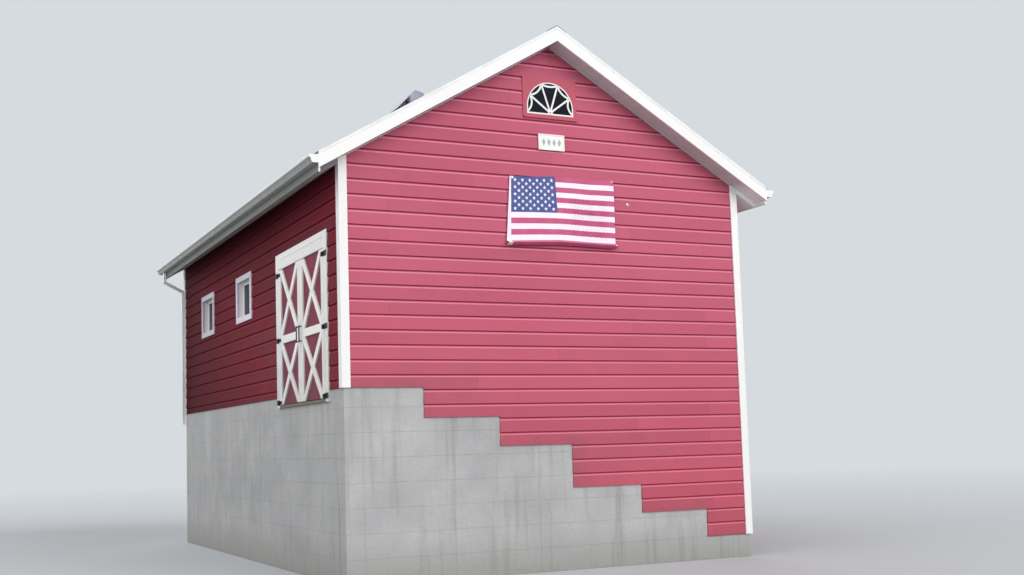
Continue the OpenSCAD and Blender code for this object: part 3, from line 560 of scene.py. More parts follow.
def board(piece, face, outline, d0, d1, along=(1, 0), chamfer=0.0015, slot=0, low=None):
    """A closed board with a convex outline and chamfered outer edges; its dirt starts from the height low."""
    n = len(outline)
    rings = ((outline, d0), (outline, d1 - chamfer), (inset(outline, chamfer), d1))
    faces = [list(range(n))[::-1], list(range(2 * n, 3 * n))] + skin(3, n)
    lay(piece, face, [(u, v, d) for ring, d in rings for u, v in ring], faces, along,
        lambda v: (0.5, 0.0 if low is None else math.exp(-max(0.0, v - low) / SPLASH_FALL)), slot)


def wedge(piece, face, u0, u1, v0, v1, base, low, high, along):
    """A closed tapered slab: low thick at v0, high thick at v1."""
    places = [(*corner, d) for ends in ((base, base), (low, high))
              for corner, d in zip(rect(u0, u1, v0, v1), (ends[0], ends[0], ends[1], ends[1]))]
    faces = [[3, 2, 1, 0], [4, 5, 6, 7], *skin(2, 4)]
    lay(piece, face, places, faces, along, lambda v: (0.0 if v == v0 else 1.0, 0.0))


def band(piece, face, left, right, d0, d1):
    """A closed strip between two lines of points, its left and its right edge along the way."""
    n = len(left)
    places = [(u, v, d) for d in (d0, d1) for row in (left, right) for u, v in row]
    ends = [[n, 3 * n, 2 * n, 0], [2 * n - 1, n - 1, 3 * n - 1, 4 * n - 1]]
    lines = ((3, 2), (0, 1), (1, 3), (2, 0))
    lay(piece, face, places, ends + [[a * n + i, a * n + i + 1, b * n + i + 1, b * n + i]
                                     for i in range(n - 1) for a, b in lines])


def dome(piece, face, u, v, d, r, h, slot=0, sides=10, rings=3):
    """A domed head of radius r that stands h off the face, closed underneath."""
    points = []
    for k in range(rings):
        out, up = r * math.cos(k / rings * math.pi / 2), h * math.sin(k / rings * math.pi / 2)
        points += [face.at(u + out * math.cos(t), v + out * math.sin(t), d + up)
                   for t in (2 * math.pi * i / sides for i in range(sides))]
    points.append(face.at(u, v, d + h))
    last = (rings - 1) * sides
    top = [[last + i, last + (i + 1) % sides, rings * sides] for i in range(sides)]
    piece.solid(points, [list(range(sides))[::-1]] + skin(rings, sides) + top, slot=slot)


# Siding: height of a lap line, and how far the lines depart from an even spacing above it, by course
LAP_BASE, LEFT_LAPS = 2.364, -0.0305
LAP_DRIFT = ((-11, 0.054), (-6, 0.043), (-1, 0.029), (3, 0.019), (8, 0.010), (11, -0.003), (15, 0.008),
             (19, 0.026), (26, 0.056))
BUTT_D, TOP_D, LAP_EDGE, LAP_ROUND, JOINT_GAP = SIDING_T, 0.006, 0.0022, 0.0016, 0.0014
NAIL_UP, NAIL_R, NAIL_H, NAIL_CLEAR = 0.028, 0.0042, 0.0012, 0.02
WALL_SPLASH, WALL_SPLASH_FALL = 0.75, 0.14
# Shorter than these, in metres, is nothing: a stretch of wall, a side of a board's cell and a step in height
NOTHING, SLIVER, LEVEL = 1e-6, 1e-4, 1e-5
# Share of a cell's height, inside its edges, where its ends are measured
INSIDE = 1e-4


def lap_line(k):
    for (k0, r0), (k1, r1) in zip(LAP_DRIFT, LAP_DRIFT[1:]):
        if k <= k1:
            break
    return LAP_BASE + COURSE * k + r0 + (r1 - r0) * (k - k0) / (k1 - k0)


def left_lap_line(k):
    return LAP_BASE + COURSE * k + LEFT_LAPS


class Wall:
    """A wall's clad area: its sides, a rake over it and rectangular holes, in the face's u and v."""

    def __init__(self, face, plane, half, bottom, top, holes, rake=None, lap=lap_line):
        self.face, self.plane, self.half, self.bottom, self.top = face, plane, half, bottom, top
        self.holes, self.rake, self.lap = holes, rake, lap

    def spans(self, v):
        """Clear stretches of u at a height."""
        limit = self.half if self.rake is None else min(self.half, (self.rake - v) / SLOPE)
        out = [(-limit, limit)]
        for u0, u1, v0, v1 in self.holes:
            if v0 < v < v1:
                out = [s for a, b in out for s in ((a, min(b, u0)), (max(a, u1), b))]
        return [s for s in out if s[1] - s[0] > NOTHING]

    def clear(self, u, v, margin):
        return any(a + margin < u < b - margin for a, b in self.spans(v))

    def low(self, u):
        """Top of what stands under the cladding at u, for the splash dirt."""
        return max([self.bottom] + [v1 for u0, u1, v0, v1 in self.holes if u0 <= u <= u1 and v0 <= 0])


def clad(piece, wall, spacing, offsets, nails):
    """Lapped boards over a wall, course by course, with butt joints in different places in turn."""
    for k in range(LAP_DRIFT[0][0], LAP_DRIFT[-1][0]):
        lap0, lap1 = wall.lap(k), wall.lap(k + 1)
        if lap1 <= wall.bottom + NOTHING or lap0 >= wall.top - SLIVER:
            continue
        v0, v1 = max(lap0, wall.bottom), min(lap1, wall.top)
        joints = [u for u in (offsets[k % len(offsets)] + i * spacing for i in range(-4, 5)) if abs(u) < 5]
        sides = [-10.0] + [e for j in joints for e in (j - JOINT_GAP / 2, j + JOINT_GAP / 2)] + [10.0]
        cuts = sorted({u for u0, u1, h0, h1 in wall.holes if h1 > v0 and h0 < v1 for u in (u0, u1)})
        for a, b in zip(sides[::2], sides[1::2]):
            course_board(piece, wall, v0, v1, lap0, lap1, a, b, cuts)
        for u in nails:
            v = v0 + NAIL_UP
            if v < v1 - 0.01 and all(wall.clear(u, height, NAIL_CLEAR) for height in (v - 0.01, v + 0.01)):
                d = wall.plane + BUTT_D + (TOP_D - BUTT_D) * (v - lap0) / COURSE
                across, up = u + rng.uniform(-0.004, 0.004), v + rng.uniform(-0.003, 0.003)
                dome(piece, wall.face, across, up, d, NAIL_R, NAIL_H, sides=7, rings=2)


def course_board(piece, wall, v0, v1, lap0, lap1, a, b, cuts):
    """The closed boards of one course between two joints, cut round rakes, steps and openings."""
    levels = {v0, v0 + LAP_EDGE, v1} | {h for _, _, h0, h1 in wall.holes for h in (h0, h1) if v0 < h < v1}
    if wall.rake is not None:
        levels |= {h for u in [*cuts, a, b, wall.half] for h in [wall.rake - SLOPE * abs(u)] if v0 < h < v1}
    levels = sorted(levels)
    levels = [h for i, h in enumerate(levels) if i == 0 or h - levels[i - 1] > LEVEL]
    cells = []
    for low, high in zip(levels, levels[1:]):
        tiny = (high - low) * INSIDE
        for (l0, r0), (l1, r1) in zip(wall.spans(low + tiny), wall.spans(high - tiny)):
            l0, l1, r0, r1 = max(l0, a), max(l1, a), min(r0, b), min(r1, b)
            if r0 - l0 < SLIVER and r1 - l1 < SLIVER:
                continue
            stops = [(c, c) for c in cuts if max(l0, l1) + SLIVER < c < min(r0, r1) - SLIVER]
            for (p0, p1), (q0, q1) in zip([(l0, l1)] + stops, stops + [(r0, r1)]):
                corners = ((p0, low), (q0, low), (q1, high), (p1, high))
                cells.append([(round(u, 4), round(v, 5)) for u, v in corners])
    index, places, faces, used = {}, [], [], set()

    def share(v):
        return min(1.0, max(0.0, (v - lap0) / (lap1 - lap0)))

    def corner(key, front):
        if (key, front) not in index:
            v = key[1]
            d = BUTT_D + (TOP_D - BUTT_D) * share(v) - LAP_ROUND * (abs(v - v0) < LEVEL) if front else 0.0
            index[key, front] = len(places)
            places.append((*key, d))
        return index[key, front]

    for cell in cells:
        ring = [p for i, p in enumerate(cell) if p != cell[i - 1]]
        if len(ring) > 2:
            faces += [[corner(p, True) for p in ring], [corner(p, False) for p in reversed(ring)]]
            used |= set(zip(ring, ring[1:] + ring[:1]))
    for p, q in sorted(used):
        if (q, p) not in used:
            faces.append([corner(p, False), corner(q, False), corner(q, True), corner(p, True)])
    grain, tone = grained(places), rng.random()
    points = [wall.face.at(u, v, wall.plane + d) for u, v, d in places]
    data = [(tone, share(v), WALL_SPLASH * math.exp(-max(0.0, v - wall.low(u)) / WALL_SPLASH_FALL))
            for u, v, _ in places]
    if points:
        piece.solid(points, faces, grain, data)


def mirrored(holes):
    return [(-b, -a, c, d) for a, b, c, d in holes]


RAKE_LINE = PEAK - RAKE_H - 0.0001
GABLE_HALF, SIDE_HALF = HALF_W - CORNER_W, HALF_L - CORNER_W
SIDE_TOP = roof(HALF_W, EAVE_SOFFIT_P)
NAIL_STEP, BELOW_ALL = 0.6, -1.0
steps = [(a, b, BELOW_ALL, top) for a, b, top in zip(STEP_XS, STEP_XS[1:], STEP_TOPS)]
panel_hole = (FAN_PANEL[0].x, FAN_PANEL[1].x, FAN_PANEL[0].z, FAN_PANEL[1].z)
windows = [(y - WIN_W / 2, y + WIN_W / 2, WIN_TOP - WIN_H, WIN_TOP) for y in WIN_YS]
door_hole = (DOOR_Y0 - JAMB_W, DOOR_Y1 + JAMB_W, BELOW_ALL, DOOR_TOP + HEADER_H)
gable = (SHEATH_Y, GABLE_HALF, STEP_TOPS[-1], RAKE_LINE - 0.001)
left_holes = mirrored([*windows, door_hole])
# Each wall with the spacing of its joints and where they start in each course in turn
walls = {
    "front": (Wall(FRONT, *gable, [*steps, panel_hole], RAKE_LINE), 4.8,
              (-1.2, 1.8, 0.0, -2.4, 1.2, 2.4, -0.6)),
    "back": (Wall(BACK, *gable, [*mirrored(steps), panel_hole], RAKE_LINE), 4.8,
             (0.6, -1.8, 1.8, -0.6, 2.4, -2.4, 0.0)),
    "left": (Wall(LEFT, SHEATH_X, SIDE_HALF, CONCRETE_TOP, SIDE_TOP, left_holes, lap=left_lap_line), 4.2,
             (-3.0, 0.6, -1.2, -3.6, 0.0, -2.4)),
    "right": (Wall(RIGHT, SHEATH_X, SIDE_HALF, STEP_TOPS[-1], SIDE_TOP, windows), 4.2,
              (-1.8, 0.6, -0.6, 1.8, -2.4, 0.0)),
}
for side, (wall, spacing, offsets) in walls.items():
    p = Piece()
    studs = [i * NAIL_STEP for i in range(-8, 9)]
    clad(p, wall, spacing, offsets, [u + 0.02 for u in studs if abs(u) < wall.half])
    paint = "siding_shaded" if side == "left" else "siding"
    p.make("siding_" + side, [paint], "red_siding", replaces=[side + "_siding"])

# Roof
EXPOSURE, TAB_W, TAB_GAP = 0.127, 0.3048, 0.006
SHINGLE_Y = RAKE_Y - 0.0004
SLOPE_L = EAVE_X / COS
SHINGLE_OUT, HALF_TAB = 0.013, TAB_W / 2
ROOF_BOARD_W, ROOF_BOARD_D0, ROOF_BOARD_D1 = 0.142, -0.022, -0.0006
DRIP_T, DRIP_TOP, DRIP_LOW = 0.0028, -0.0115, 0.030
SHINGLE_D, SHINGLE_BUTT, SHINGLE_TOP = 0.0023, 0.0098, 0.0042
CAP_STEP, CAP_ARM, CAP_UNDER, CAP_BUTT, CAP_TOP = 0.143, 0.150, 0.0108, 0.0185, 0.0135


def shingled(name, face, node):
    """Boards, an underlay and rows of three-tab shingles, from the eave up one slope."""
    p = Piece()
    for i in range(int(SLOPE_L / ROOF_BOARD_W) + 1):
        v0, v1 = i * ROOF_BOARD_W, min((i + 1) * ROOF_BOARD_W - 0.003, SLOPE_L - 0.014)
        if v1 - v0 < 0.02:
            continue
        stops = sorted(rng.sample([-2.7, -1.5, -0.3, 0.9, 2.1, 3.0], 2))
        for a, b in zip([0.025 - RAKE_Y, *stops], [*stops, RAKE_Y - 0.025]):
            plank = rect(a + 0.001, b - 0.001, v0, v1)
            board(p, face, plank, ROOF_BOARD_D0, ROOF_BOARD_D1, chamfer=0.0008, slot=1)
    under = rect(-SHINGLE_Y + 0.004, SHINGLE_Y - 0.004, -0.009, SLOPE_L - 0.003)
    board(p, face, under, 0.0001, 0.0022, chamfer=0.0004)
    for row in range(math.ceil((SLOPE_L + SHINGLE_OUT) / EXPOSURE)):
        v0 = row * EXPOSURE - SHINGLE_OUT
        v1 = min(v0 + EXPOSURE - 0.0006, SLOPE_L - 0.004)
        u = -SHINGLE_Y - row % 2 * HALF_TAB - rng.uniform(0, 0.012)
        while u < SHINGLE_Y:
            a, b = max(u + TAB_GAP / 2, -SHINGLE_Y), min(u + TAB_W - TAB_GAP / 2, SHINGLE_Y)
            if b - a > 0.02:
                butt = SHINGLE_BUTT + rng.uniform(-0.0007, 0.0009)
                foot = v0 + rng.uniform(-0.0012, 0.0012)
                wedge(p, face, a, b, foot, v1, SHINGLE_D, butt, SHINGLE_TOP, (0, 1))
            u += TAB_W
    p.make(name, ["shingle", "roof_boards"], "shingles", replaces=[node])


shingled("shingles_left", ROOF_L, "roof_deck_left")
shingled("shingles_right", ROOF_R, "roof_deck_right")

p = Piece()
y = -SHINGLE_Y
while y < SHINGLE_Y - 0.02:
    end = min(y + CAP_STEP - 0.0005, SHINGLE_Y)
    tone = rng.random()
    places = [(side * CAP_ARM, at, h) for at, outer in ((y, CAP_BUTT), (end, CAP_TOP))
              for h in (CAP_UNDER, outer) for side in (-1, 0, 1)]
    points = [Vector((math.copysign(CAP_ARM * COS + h * SIN, arm), at, PEAK - CAP_ARM * SIN + h * COS)) if arm
              else Vector((0, at, PEAK + h / COS)) for arm, at, h in places]
    faces = [[0, 1, 4, 3], [1, 2, 5, 4], [9, 10, 7, 6], [10, 11, 8, 7], [3, 4, 10, 9], [4, 5, 11, 10],
             [6, 7, 1, 0], [7, 8, 2, 1], [0, 3, 9, 6], [8, 11, 5, 2]]
    data = [(tone, 0.0 if at == y else 1.0, 0.0) for _, at, _ in places]
    p.solid(points, faces, grained(places, (0, 1)), data)
    y += CAP_STEP
p.make("ridge_caps", ["shingle"], "shingles")


def under_rakes(piece, inner, outer, top, low, d0, d1, chamfer):
    """Boards along the rakes of both gables; top and low are how far under the roof their edges are."""
    for face in (FRONT, BACK):
        for side in (-1, 1):
            x0, x1 = pair(0, side, inner, outer)
            outline = [(x, roof(x, below)) for x, below in ((x0, low), (x1, low), (x1, top), (x0, top))]
            board(piece, face, outline, d0, d1, (COS, SIN * -side), chamfer)


# White metal strips over the shingles' ends at the rakes and the roof boards' ends at the eaves
p = Piece()
under_rakes(p, 0.0003, EAVE_X, DRIP_TOP, DRIP_LOW, RAKE_Y + 0.0002, RAKE_Y + 0.0002 + DRIP_T, 0.0006)
for face in (LEFT, RIGHT):
    strip = rect(-SHINGLE_Y + 0.001, SHINGLE_Y - 0.001, GUTTER_TOP + 0.0012, roof(EAVE_X + 0.0025) - 0.0005)
    board(p, face, strip, EAVE_X + 0.0003, EAVE_X + 0.0022, chamfer=0.0004)
p.make("drip_edges", ["white_metal"], "white_trim")

# Soffits: narrow boards across, with V joints
RIB, RIB_T, V_JOINT = 0.095, 0.0117, 0.0032


def ribbed(name, strips, node, paint="soffit_board"):
    p = Piece()
    for face, u0, u1, v0, v1, across in strips:
        run0, run1 = (v0, v1) if across == "v" else (u0, u1)
        count = max(1, round((run1 - run0) / RIB))
        step = (run1 - run0) / count
        for i in range(count):
            a, b = run0 + i * step + 0.0004, run0 + (i + 1) * step - 0.0004
            outline, along = (rect(u0, u1, a, b), (1, 0)) if across == "v" else (rect(a, b, v0, v1), (0, 1))
            board(p, face, outline, -RIB_T, 0.0, along, V_JOINT)
    p.make(name, [paint], "soffit", replaces=[node])


ribbed("rake_soffit_boards", [
    (underside(side, RAKE_H), *pair(0, side * end, SHEATH_Y, RAKE_Y - 0.0253), 0.002,
     (TAIL_X - 0.0003) / COS - 0.008, "v")
    for side in (-1, 1) for end in (-1, 1)], "rake_soffits")
ribbed("eave_soffit_boards", [
    (underside(side, EAVE_SOFFIT_P), -SHEATH_Y, SHEATH_Y, (SHEATH_X + 0.001) / COS, TAIL_X / COS - 0.008, "u")
    for side in (-1, 1)], "eave_soffits", "soffit_eave")

p = Piece()
under_rakes(p, 0.001, GABLE_HALF, RAKE_H + 0.0005, RAKE_H + 0.014, SHEATH_Y + 0.0225, SHEATH_Y + 0.040, 0.003)
p.make("rake_mouldings", ["soffit_board"], "white_trim")

# Doors
PLANKS, PLANK_GAP, PLANK_V, FIT = 7, 0.0006, 0.004, 0.0006
STRAP_T, STRAP_BOLTS, STRAP_BOLT_R, STRAP_BOLT_H = 0.005, (0.040, 0.080), 0.0085, 0.0055
PLATE_OUT, PLATE_U, PLATE_V, PLATE_BOLT_R, PLATE_BOLT_H = 0.062, 0.040, 0.022, 0.0070, 0.005
HEAD_BOARD_H, HEAD_GAP = 0.140, 0.002
NEAR_EDGE, FAR_EDGE = -DOOR_Y0 - 0.009, -DOOR_Y1 + 0.009
STOP_W, STOP_D = 0.026, PANEL_D0 - 0.009
STRAP_ZS = (LEAF_Z + 0.030, RAIL_Z, LEAF_Z + LEAF_H - 0.070)


def strip_cut(outline, point, direction, half, keep):
    """Clips an outline to one side of a brace's line: keep is 'in', 'left' or 'right'."""
    nx, ny = -direction.y, direction.x
    c = nx * point[0] + ny * point[1]
    if keep == "in":
        return clip(clip(outline, -nx, -ny, half - c), nx, ny, c + half)
    return clip(outline, -nx, -ny, -c - half) if keep == "left" else clip(outline, nx, ny, c - half)


def leaf(prefix, u0, body):
    """Vertical boards with V joints, and stiles, a middle rail and crossed braces with their own joints."""
    u1, z0, z1 = u0 + LEAF_W, LEAF_Z, LEAF_Z + LEAF_H
    p = Piece()
    for i in range(PLANKS):
        a, b = u0 + i * LEAF_W / PLANKS, u0 + (i + 1) * LEAF_W / PLANKS
        outline = rect(a + PLANK_GAP * (i > 0), b - PLANK_GAP * (i < PLANKS - 1), z0, z1)
        board(p, LEFT, outline, PANEL_D0, PANEL_D1 - 0.0001, (0, 1), PLANK_V, low=z0)
    p.make(prefix + "_leaf_boards", ["red_board"], "red_siding", body, [prefix + "_leaf_panel"])
    p = Piece()

    def trim(outline, along):
        board(p, LEFT, outline, PANEL_D1, FRAME_D1, along, 0.0025, low=z0)

    trim(rect(u0, u0 + STILE_W, z0, z1), (0, 1))
    trim(rect(u1 - STILE_W, u1, z0, z1), (0, 1))
    a, b = u0 + STILE_W + FIT, u1 - STILE_W - FIT
    rail0, rail1 = RAIL_Z - STILE_W / 2, RAIL_Z + STILE_W / 2
    trim(rect(a, b, rail0, rail1), (1, 0))
    for low, high in ((z0, rail0 - FIT), (rail1 + FIT, z1)):
        bay = rect(a, b, low, high)
        up, down = Vector((b - a, high - low)).normalized(), Vector((b - a, low - high)).normalized()
        trim(strip_cut(bay, (a, high), down, BRACE_W / 2, "in"), tuple(down))
        for keep in ("left", "right"):
            half = strip_cut(bay, (a, low), up, BRACE_W / 2, "in")
            trim(strip_cut(half, (a, high), down, BRACE_W / 2 + FIT, keep), tuple(up))
    p.make(prefix + "_leaf_braces", ["white_board"], "white_trim", body, [prefix + "_leaf_frame"])


leaf("near", NEAR_EDGE - LEAF_W, "near_leaf")
leaf("far", FAR_EDGE, "far_leaf")

# Casing boards up both sides, a header of two boards between them, and the stops behind the leaves
p = Piece()
for edge, way in ((-DOOR_Y0, 1), (-DOOR_Y1, -1)):
    a, b = pair(edge, way, 0.0003, JAMB_W)
    casing = rect(a, b, FLOOR_Z - PLANK_T, DOOR_TOP + HEADER_H)
    board(p, LEFT, casing, SHEATH_X, HALF_W, (0, 1), 0.003, low=CONCRETE_TOP)
    a, b = pair(edge, -way, 0, STOP_W)
    board(p, LEFT, rect(a, b, FLOOR_Z, DOOR_TOP), IN_X, STOP_D, (0, 1), 0.002)
head_joint = DOOR_TOP + HEAD_BOARD_H
for v0, v1 in ((DOOR_TOP, head_joint), (head_joint + HEAD_GAP, DOOR_TOP + HEADER_H)):
    board(p, LEFT, rect(-DOOR_Y1, -DOOR_Y0, v0, v1), SHEATH_X, HALF_W, chamfer=0.003)
head_stop = rect(-DOOR_Y1 + STOP_W, -DOOR_Y0 - STOP_W, DOOR_TOP - STOP_W, DOOR_TOP)
board(p, LEFT, head_stop, IN_X, STOP_D, chamfer=0.002)
p.make("door_casing", ["white_board"], "white_trim", replaces=["door_jambs", "door_header"])

for prefix, edge, way in (("near", NEAR_EDGE, -1), ("far", FAR_EDGE, 1)):
    p = Piece()
    for z in STRAP_ZS:
        for reach in STRAP_BOLTS:
            dome(p, LEFT, edge + way * reach, z, FRAME_D1 + STRAP_T, STRAP_BOLT_R, STRAP_BOLT_H)
    p.make(prefix + "_strap_bolts", ["iron"], "black_iron", prefix + "_leaf", smooth=40)
p = Piece()
for y in (DOOR_Y0 - PLATE_OUT, DOOR_Y1 + PLATE_OUT):
    for z in STRAP_ZS:
        for u, v in rect(-PLATE_U, PLATE_U, -PLATE_V, PLATE_V):
            dome(p, LEFT, u - y, z + v, HALF_W + STRAP_T, PLATE_BOLT_R, PLATE_BOLT_H)
p.make("pintle_bolts", ["iron"], "black_iron", smooth=40)

# Window casings and liners
p = Piece()
mid_z, inner_w, inner_h = WIN_TOP - WIN_H / 2, WIN_W / 2 - CASING_W, WIN_H / 2 - CASING_W
casing = (CASING_W, 0.0005, SHEATH_X, HALF_W + 0.005, 0.003, 0)
liner = (LINER_T, 0.0, IN_X, SHEATH_X - 0.0002, 0.0005, 1)
for face, turn in ((LEFT, -1), (RIGHT, 1)):
    for mid in (turn * y for y in WIN_YS):
        for side in (-1, 1):
            for width, gap, d0, d1, chamfer, slot in (casing, liner):
                reach = inner_w + width
                level = rect(mid - reach, mid + reach, *pair(mid_z, side, inner_h, inner_h + width))
                board(p, face, level, d0, d1, (1, 0), chamfer, slot)
                upright = rect(*pair(mid, side, inner_w, reach), mid_z - inner_h + gap, mid_z + inner_h - gap)
                board(p, face, upright, d0, d1, (0, 1), chamfer, slot)
p.make("window_frames", ["white_window", "white_liner"], "white_trim", replaces=["window_casings"])

# Floor planks
PLANK_ROWS = 40
p = Piece()
plank_w = 2 * IN_X / PLANK_ROWS
for i in range(PLANK_ROWS):
    a = -IN_X + i * plank_w
    stops = sorted(rng.sample([-3.0, -1.8, -0.6, 0.6, 1.8, 3.0], 2))
    for y0, y1 in zip([-IN_Y, *stops], [*stops, IN_Y]):
        outline = rect(a + 0.0008, a + plank_w - 0.0008, y0 + 0.0005, y1 - 0.0005)
        board(p, FLOOR, outline, FLOOR_Z - PLANK_T, FLOOR_Z, (0, 1))
p.make("floor_planks", ["floor"], "timber", replaces=["floor_deck"])

# Plaque: a plain moulded board with four lozenges and four screws
RIM, LOZENGE_W, LOZENGE_H, SCREW_IN, SCREW_R, SCREW_H = 0.018, 0.026, 0.052, 0.03, 0.0045, 0.0025
near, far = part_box("plaque")
wall_d, face_d = -far.y, -near.y
p = Piece()
back_board = rect(near.x + 0.004, far.x - 0.004, near.z + 0.004, far.z - 0.004)
board(p, FRONT, back_board, wall_d, face_d - 0.005, chamfer=0.002)
outer, inner = rect(near.x, far.x, near.z, far.z), rect(near.x + RIM, far.x - RIM, near.z + RIM, far.z - RIM)
for i in range(4):
    j = (i + 1) % 4
    mitred, along = [outer[i], outer[j], inner[j], inner[i]], (0, 1) if i % 2 else (1, 0)
    board(p, FRONT, mitred, wall_d + 0.0005, face_d, along, 0.003)
for i in range(1, 5):
    u, v = near.x + (far.x - near.x) * i / 5, (near.z + far.z) / 2
    lozenge = [(u - LOZENGE_W, v), (u, v - LOZENGE_H), (u + LOZENGE_W, v), (u, v + LOZENGE_H)]
    board(p, FRONT, lozenge, face_d - 0.006, face_d - 0.0025, (0, 1), slot=1)
for u in (near.x + SCREW_IN, far.x - SCREW_IN):
    for v in (near.z + SCREW_IN, far.z - SCREW_IN):
        dome(p, FRONT, u, v, face_d - 0.0052, SCREW_R, SCREW_H, slot=1)
p.make("plaque_board_moulded", ["white_board", "inlay"], "plaque_board", replaces=["plaque"])

# Fan window: rim, scalloped web, spokes and hub
FAN_Z, FAN_R, FAN_STILT, FAN_HUB, HUB_R = FAN_PANEL[0].z + 0.056, 0.356, 0.094, 0.032, 0.036
FAN_IN, FAN_REACH, BAR_HALF = FAN_R - 0.015, FAN_R - 0.010, 0.0125
FAN_SAGS = (0.048, 0.034, 0.024, 0.038, 0.044)
FAN_T, FOOT_H, WEB_LESS, SPOKE_LESS, HUB_MORE = 0.032, 0.022, 0.0008, 0.0016, 0.004
BOLT_R, BOLT_H = 0.011, 0.003
SPOKES, WEB_STEPS, SPOKE_STEPS, HUB_SIDES = 5, 14, 6, 24


def circle(r, centre, angles):
    return [(centre[0] + r * math.cos(a), centre[1] + r * math.sin(a)) for a in angles]


def arch(r, count=48):
    """Right foot, half circle and left foot of an arch, in u and v."""
    bow = circle(r, (0, FAN_Z + FAN_STILT), [math.pi * i / count for i in range(count + 1)])
    return [(r, FAN_Z), *bow, (-r, FAN_Z)]


def in_arch(u, v):
    """A point of the window moved inside the rim's outer edge."""
    r, low = FAN_R - 0.001, FAN_Z + FAN_STILT
    v = max(v, FAN_Z + 0.0006)
    if v <= low:
        return max(-r, min(r, u)), v
    k = min(1.0, r / math.hypot(u, v - low))
    return u * k, low + (v - low) * k


def spoke_end(i):
    """Where spoke i meets the rim; the first and the last are the ends of the foot."""
    a, rise = math.pi * i / SPOKES, FAN_STILT - FAN_HUB
    reach = rise * math.sin(a) + math.sqrt(FAN_REACH ** 2 - (rise * math.cos(a)) ** 2)
    return hub + (FAN_REACH if i in (0, SPOKES) else reach) * Vector((math.cos(a), math.sin(a)))


hub = Vector((0, FAN_Z + FAN_HUB))
wall_d, face_d = SHEATH_Y + 0.0002, SHEATH_Y + FAN_T
bars, panes = Piece(), Piece()
for face in (FRONT, BACK):
    band(bars, face, arch(FAN_IN), arch(FAN_R), wall_d, face_d)
    foot = rect(-FAN_IN + 0.0003, FAN_IN - 0.0003, FAN_Z, FAN_Z + FOOT_H)
    board(bars, face, foot, wall_d, face_d, chamfer=0.002)
    for i, sag in enumerate(FAN_SAGS):
        a, b = spoke_end(i), spoke_end(i + 1)
        chord = (b - a).length
        radius = (chord * chord / 4 + sag * sag) / (2 * sag)
        centre = (a + b) / 2 + Vector((b.y - a.y, a.x - b.x)) / chord * (radius - sag)
        start, end = (math.atan2(q.y - centre.y, q.x - centre.x) for q in (a, b))
        turn = (end - start + math.pi) % (2 * math.pi) - math.pi
        angles = [start + turn * k / WEB_STEPS for k in range(WEB_STEPS + 1)]
        edges = ([in_arch(*q) for q in circle(radius + half, centre, angles)]
                 for half in (BAR_HALF, -BAR_HALF))
        band(bars, face, *edges, wall_d, face_d - WEB_LESS)
    for end in (spoke_end(i) for i in range(1, SPOKES)):
        across = Vector((hub.y - end.y, end.x - hub.x)).normalized() * BAR_HALF
        ends = [hub + (end - hub) * k / SPOKE_STEPS for k in range(SPOKE_STEPS + 1)]
        edges = ([in_arch(*(q + side * across)) for q in ends] for side in (1, -1))
        band(bars, face, *edges, wall_d, face_d - SPOKE_LESS)
    disc = circle(HUB_R, hub, [2 * math.pi * k / HUB_SIDES for k in range(HUB_SIDES)])
    board(bars, face, clip(disc, 0, -1, -FAN_Z - 0.0006), wall_d, face_d + HUB_MORE, chamfer=0.003)
    dome(bars, face, 0.0, hub.y, face_d + HUB_MORE - 0.0002, BOLT_R, BOLT_H, slot=1, sides=12)
for face in (FRONT, BACK):
    board(panes, face, arch(FAN_R - 0.006), face_d - 0.013, face_d - 0.008, chamfer=0.0005)
bars.make("fan_bars", ["white_board", "iron"], "white_trim", replaces=["fan_frame"])
panes.make("fan_panes", ["fan_glass"], "fan_glass", replaces=["fan_glass"])

# Flag: how it hangs on the wall. EDGE_X holds x at the top and the foot for the hoist's two edges and the
# fly, and HANG_Z the height of five seams at places along it
HOIST, CANTON = 0.020, 0.452
EDGE_X = ((-0.652, -0.731), (-0.631, -0.664), (0.957, 0.949))
HANG_S = (0.0, 0.178, 0.449, 0.616, 0.765, 0.946, 1.0)
HANG_T = (0.0, 1 / 13, 7 / 13, 12 / 13, 1.0)
HANG_Z = ((5.216, 5.221, 5.252, 5.257, 5.255, 5.254, 5.252),
          (5.146, 5.151, 5.175, 5.178, 5.174, 5.182, 5.180),
          (4.728, 4.742, 4.755, 4.752, 4.744, 4.745, 4.744),
          (4.344, 4.363, 4.384, 4.382, 4.375, 4.373, 4.371),
          (4.282, 4.290, 4.310, 4.308, 4.304, 4.298, 4.293))
FLAG_D, CLOTH_T = SHEATH_Y + SIDING_T, 0.0008
# Size that the weave and the stars are drawn at
DRAWN_W, DRAWN_H = 1.62, 0.90
CANTON_COLS, FIELD_COLS, ROWS, STRIPES, CANTON_END = 46, 84, 104, 13, 7 / 13
STAR_R, STAR_WAIST, STAR_ROWS, STAR_COLS = 0.0285, 0.42, 9, 11
# Each tack's place along and down the cloth, and its radius
TACKS = ((0.032, 0.020, 0.019), (0.009, 0.97, 0.009), (0.985, 0.012, 0.012), (0.988, 0.955, 0.012))


def ease(a, b, x):
    t = min(1.0, max(0.0, (x - a) / (b - a)))
    return t * t * (3 - 2 * t)


def between(stops, x):
    """Index of the stretch of rising stops that holds x, and the share along it."""
    i = max(k for k in range(len(stops) - 1) if k == 0 or stops[k] <= x)
    return i, (x - stops[i]) / (stops[i + 1] - stops[i])


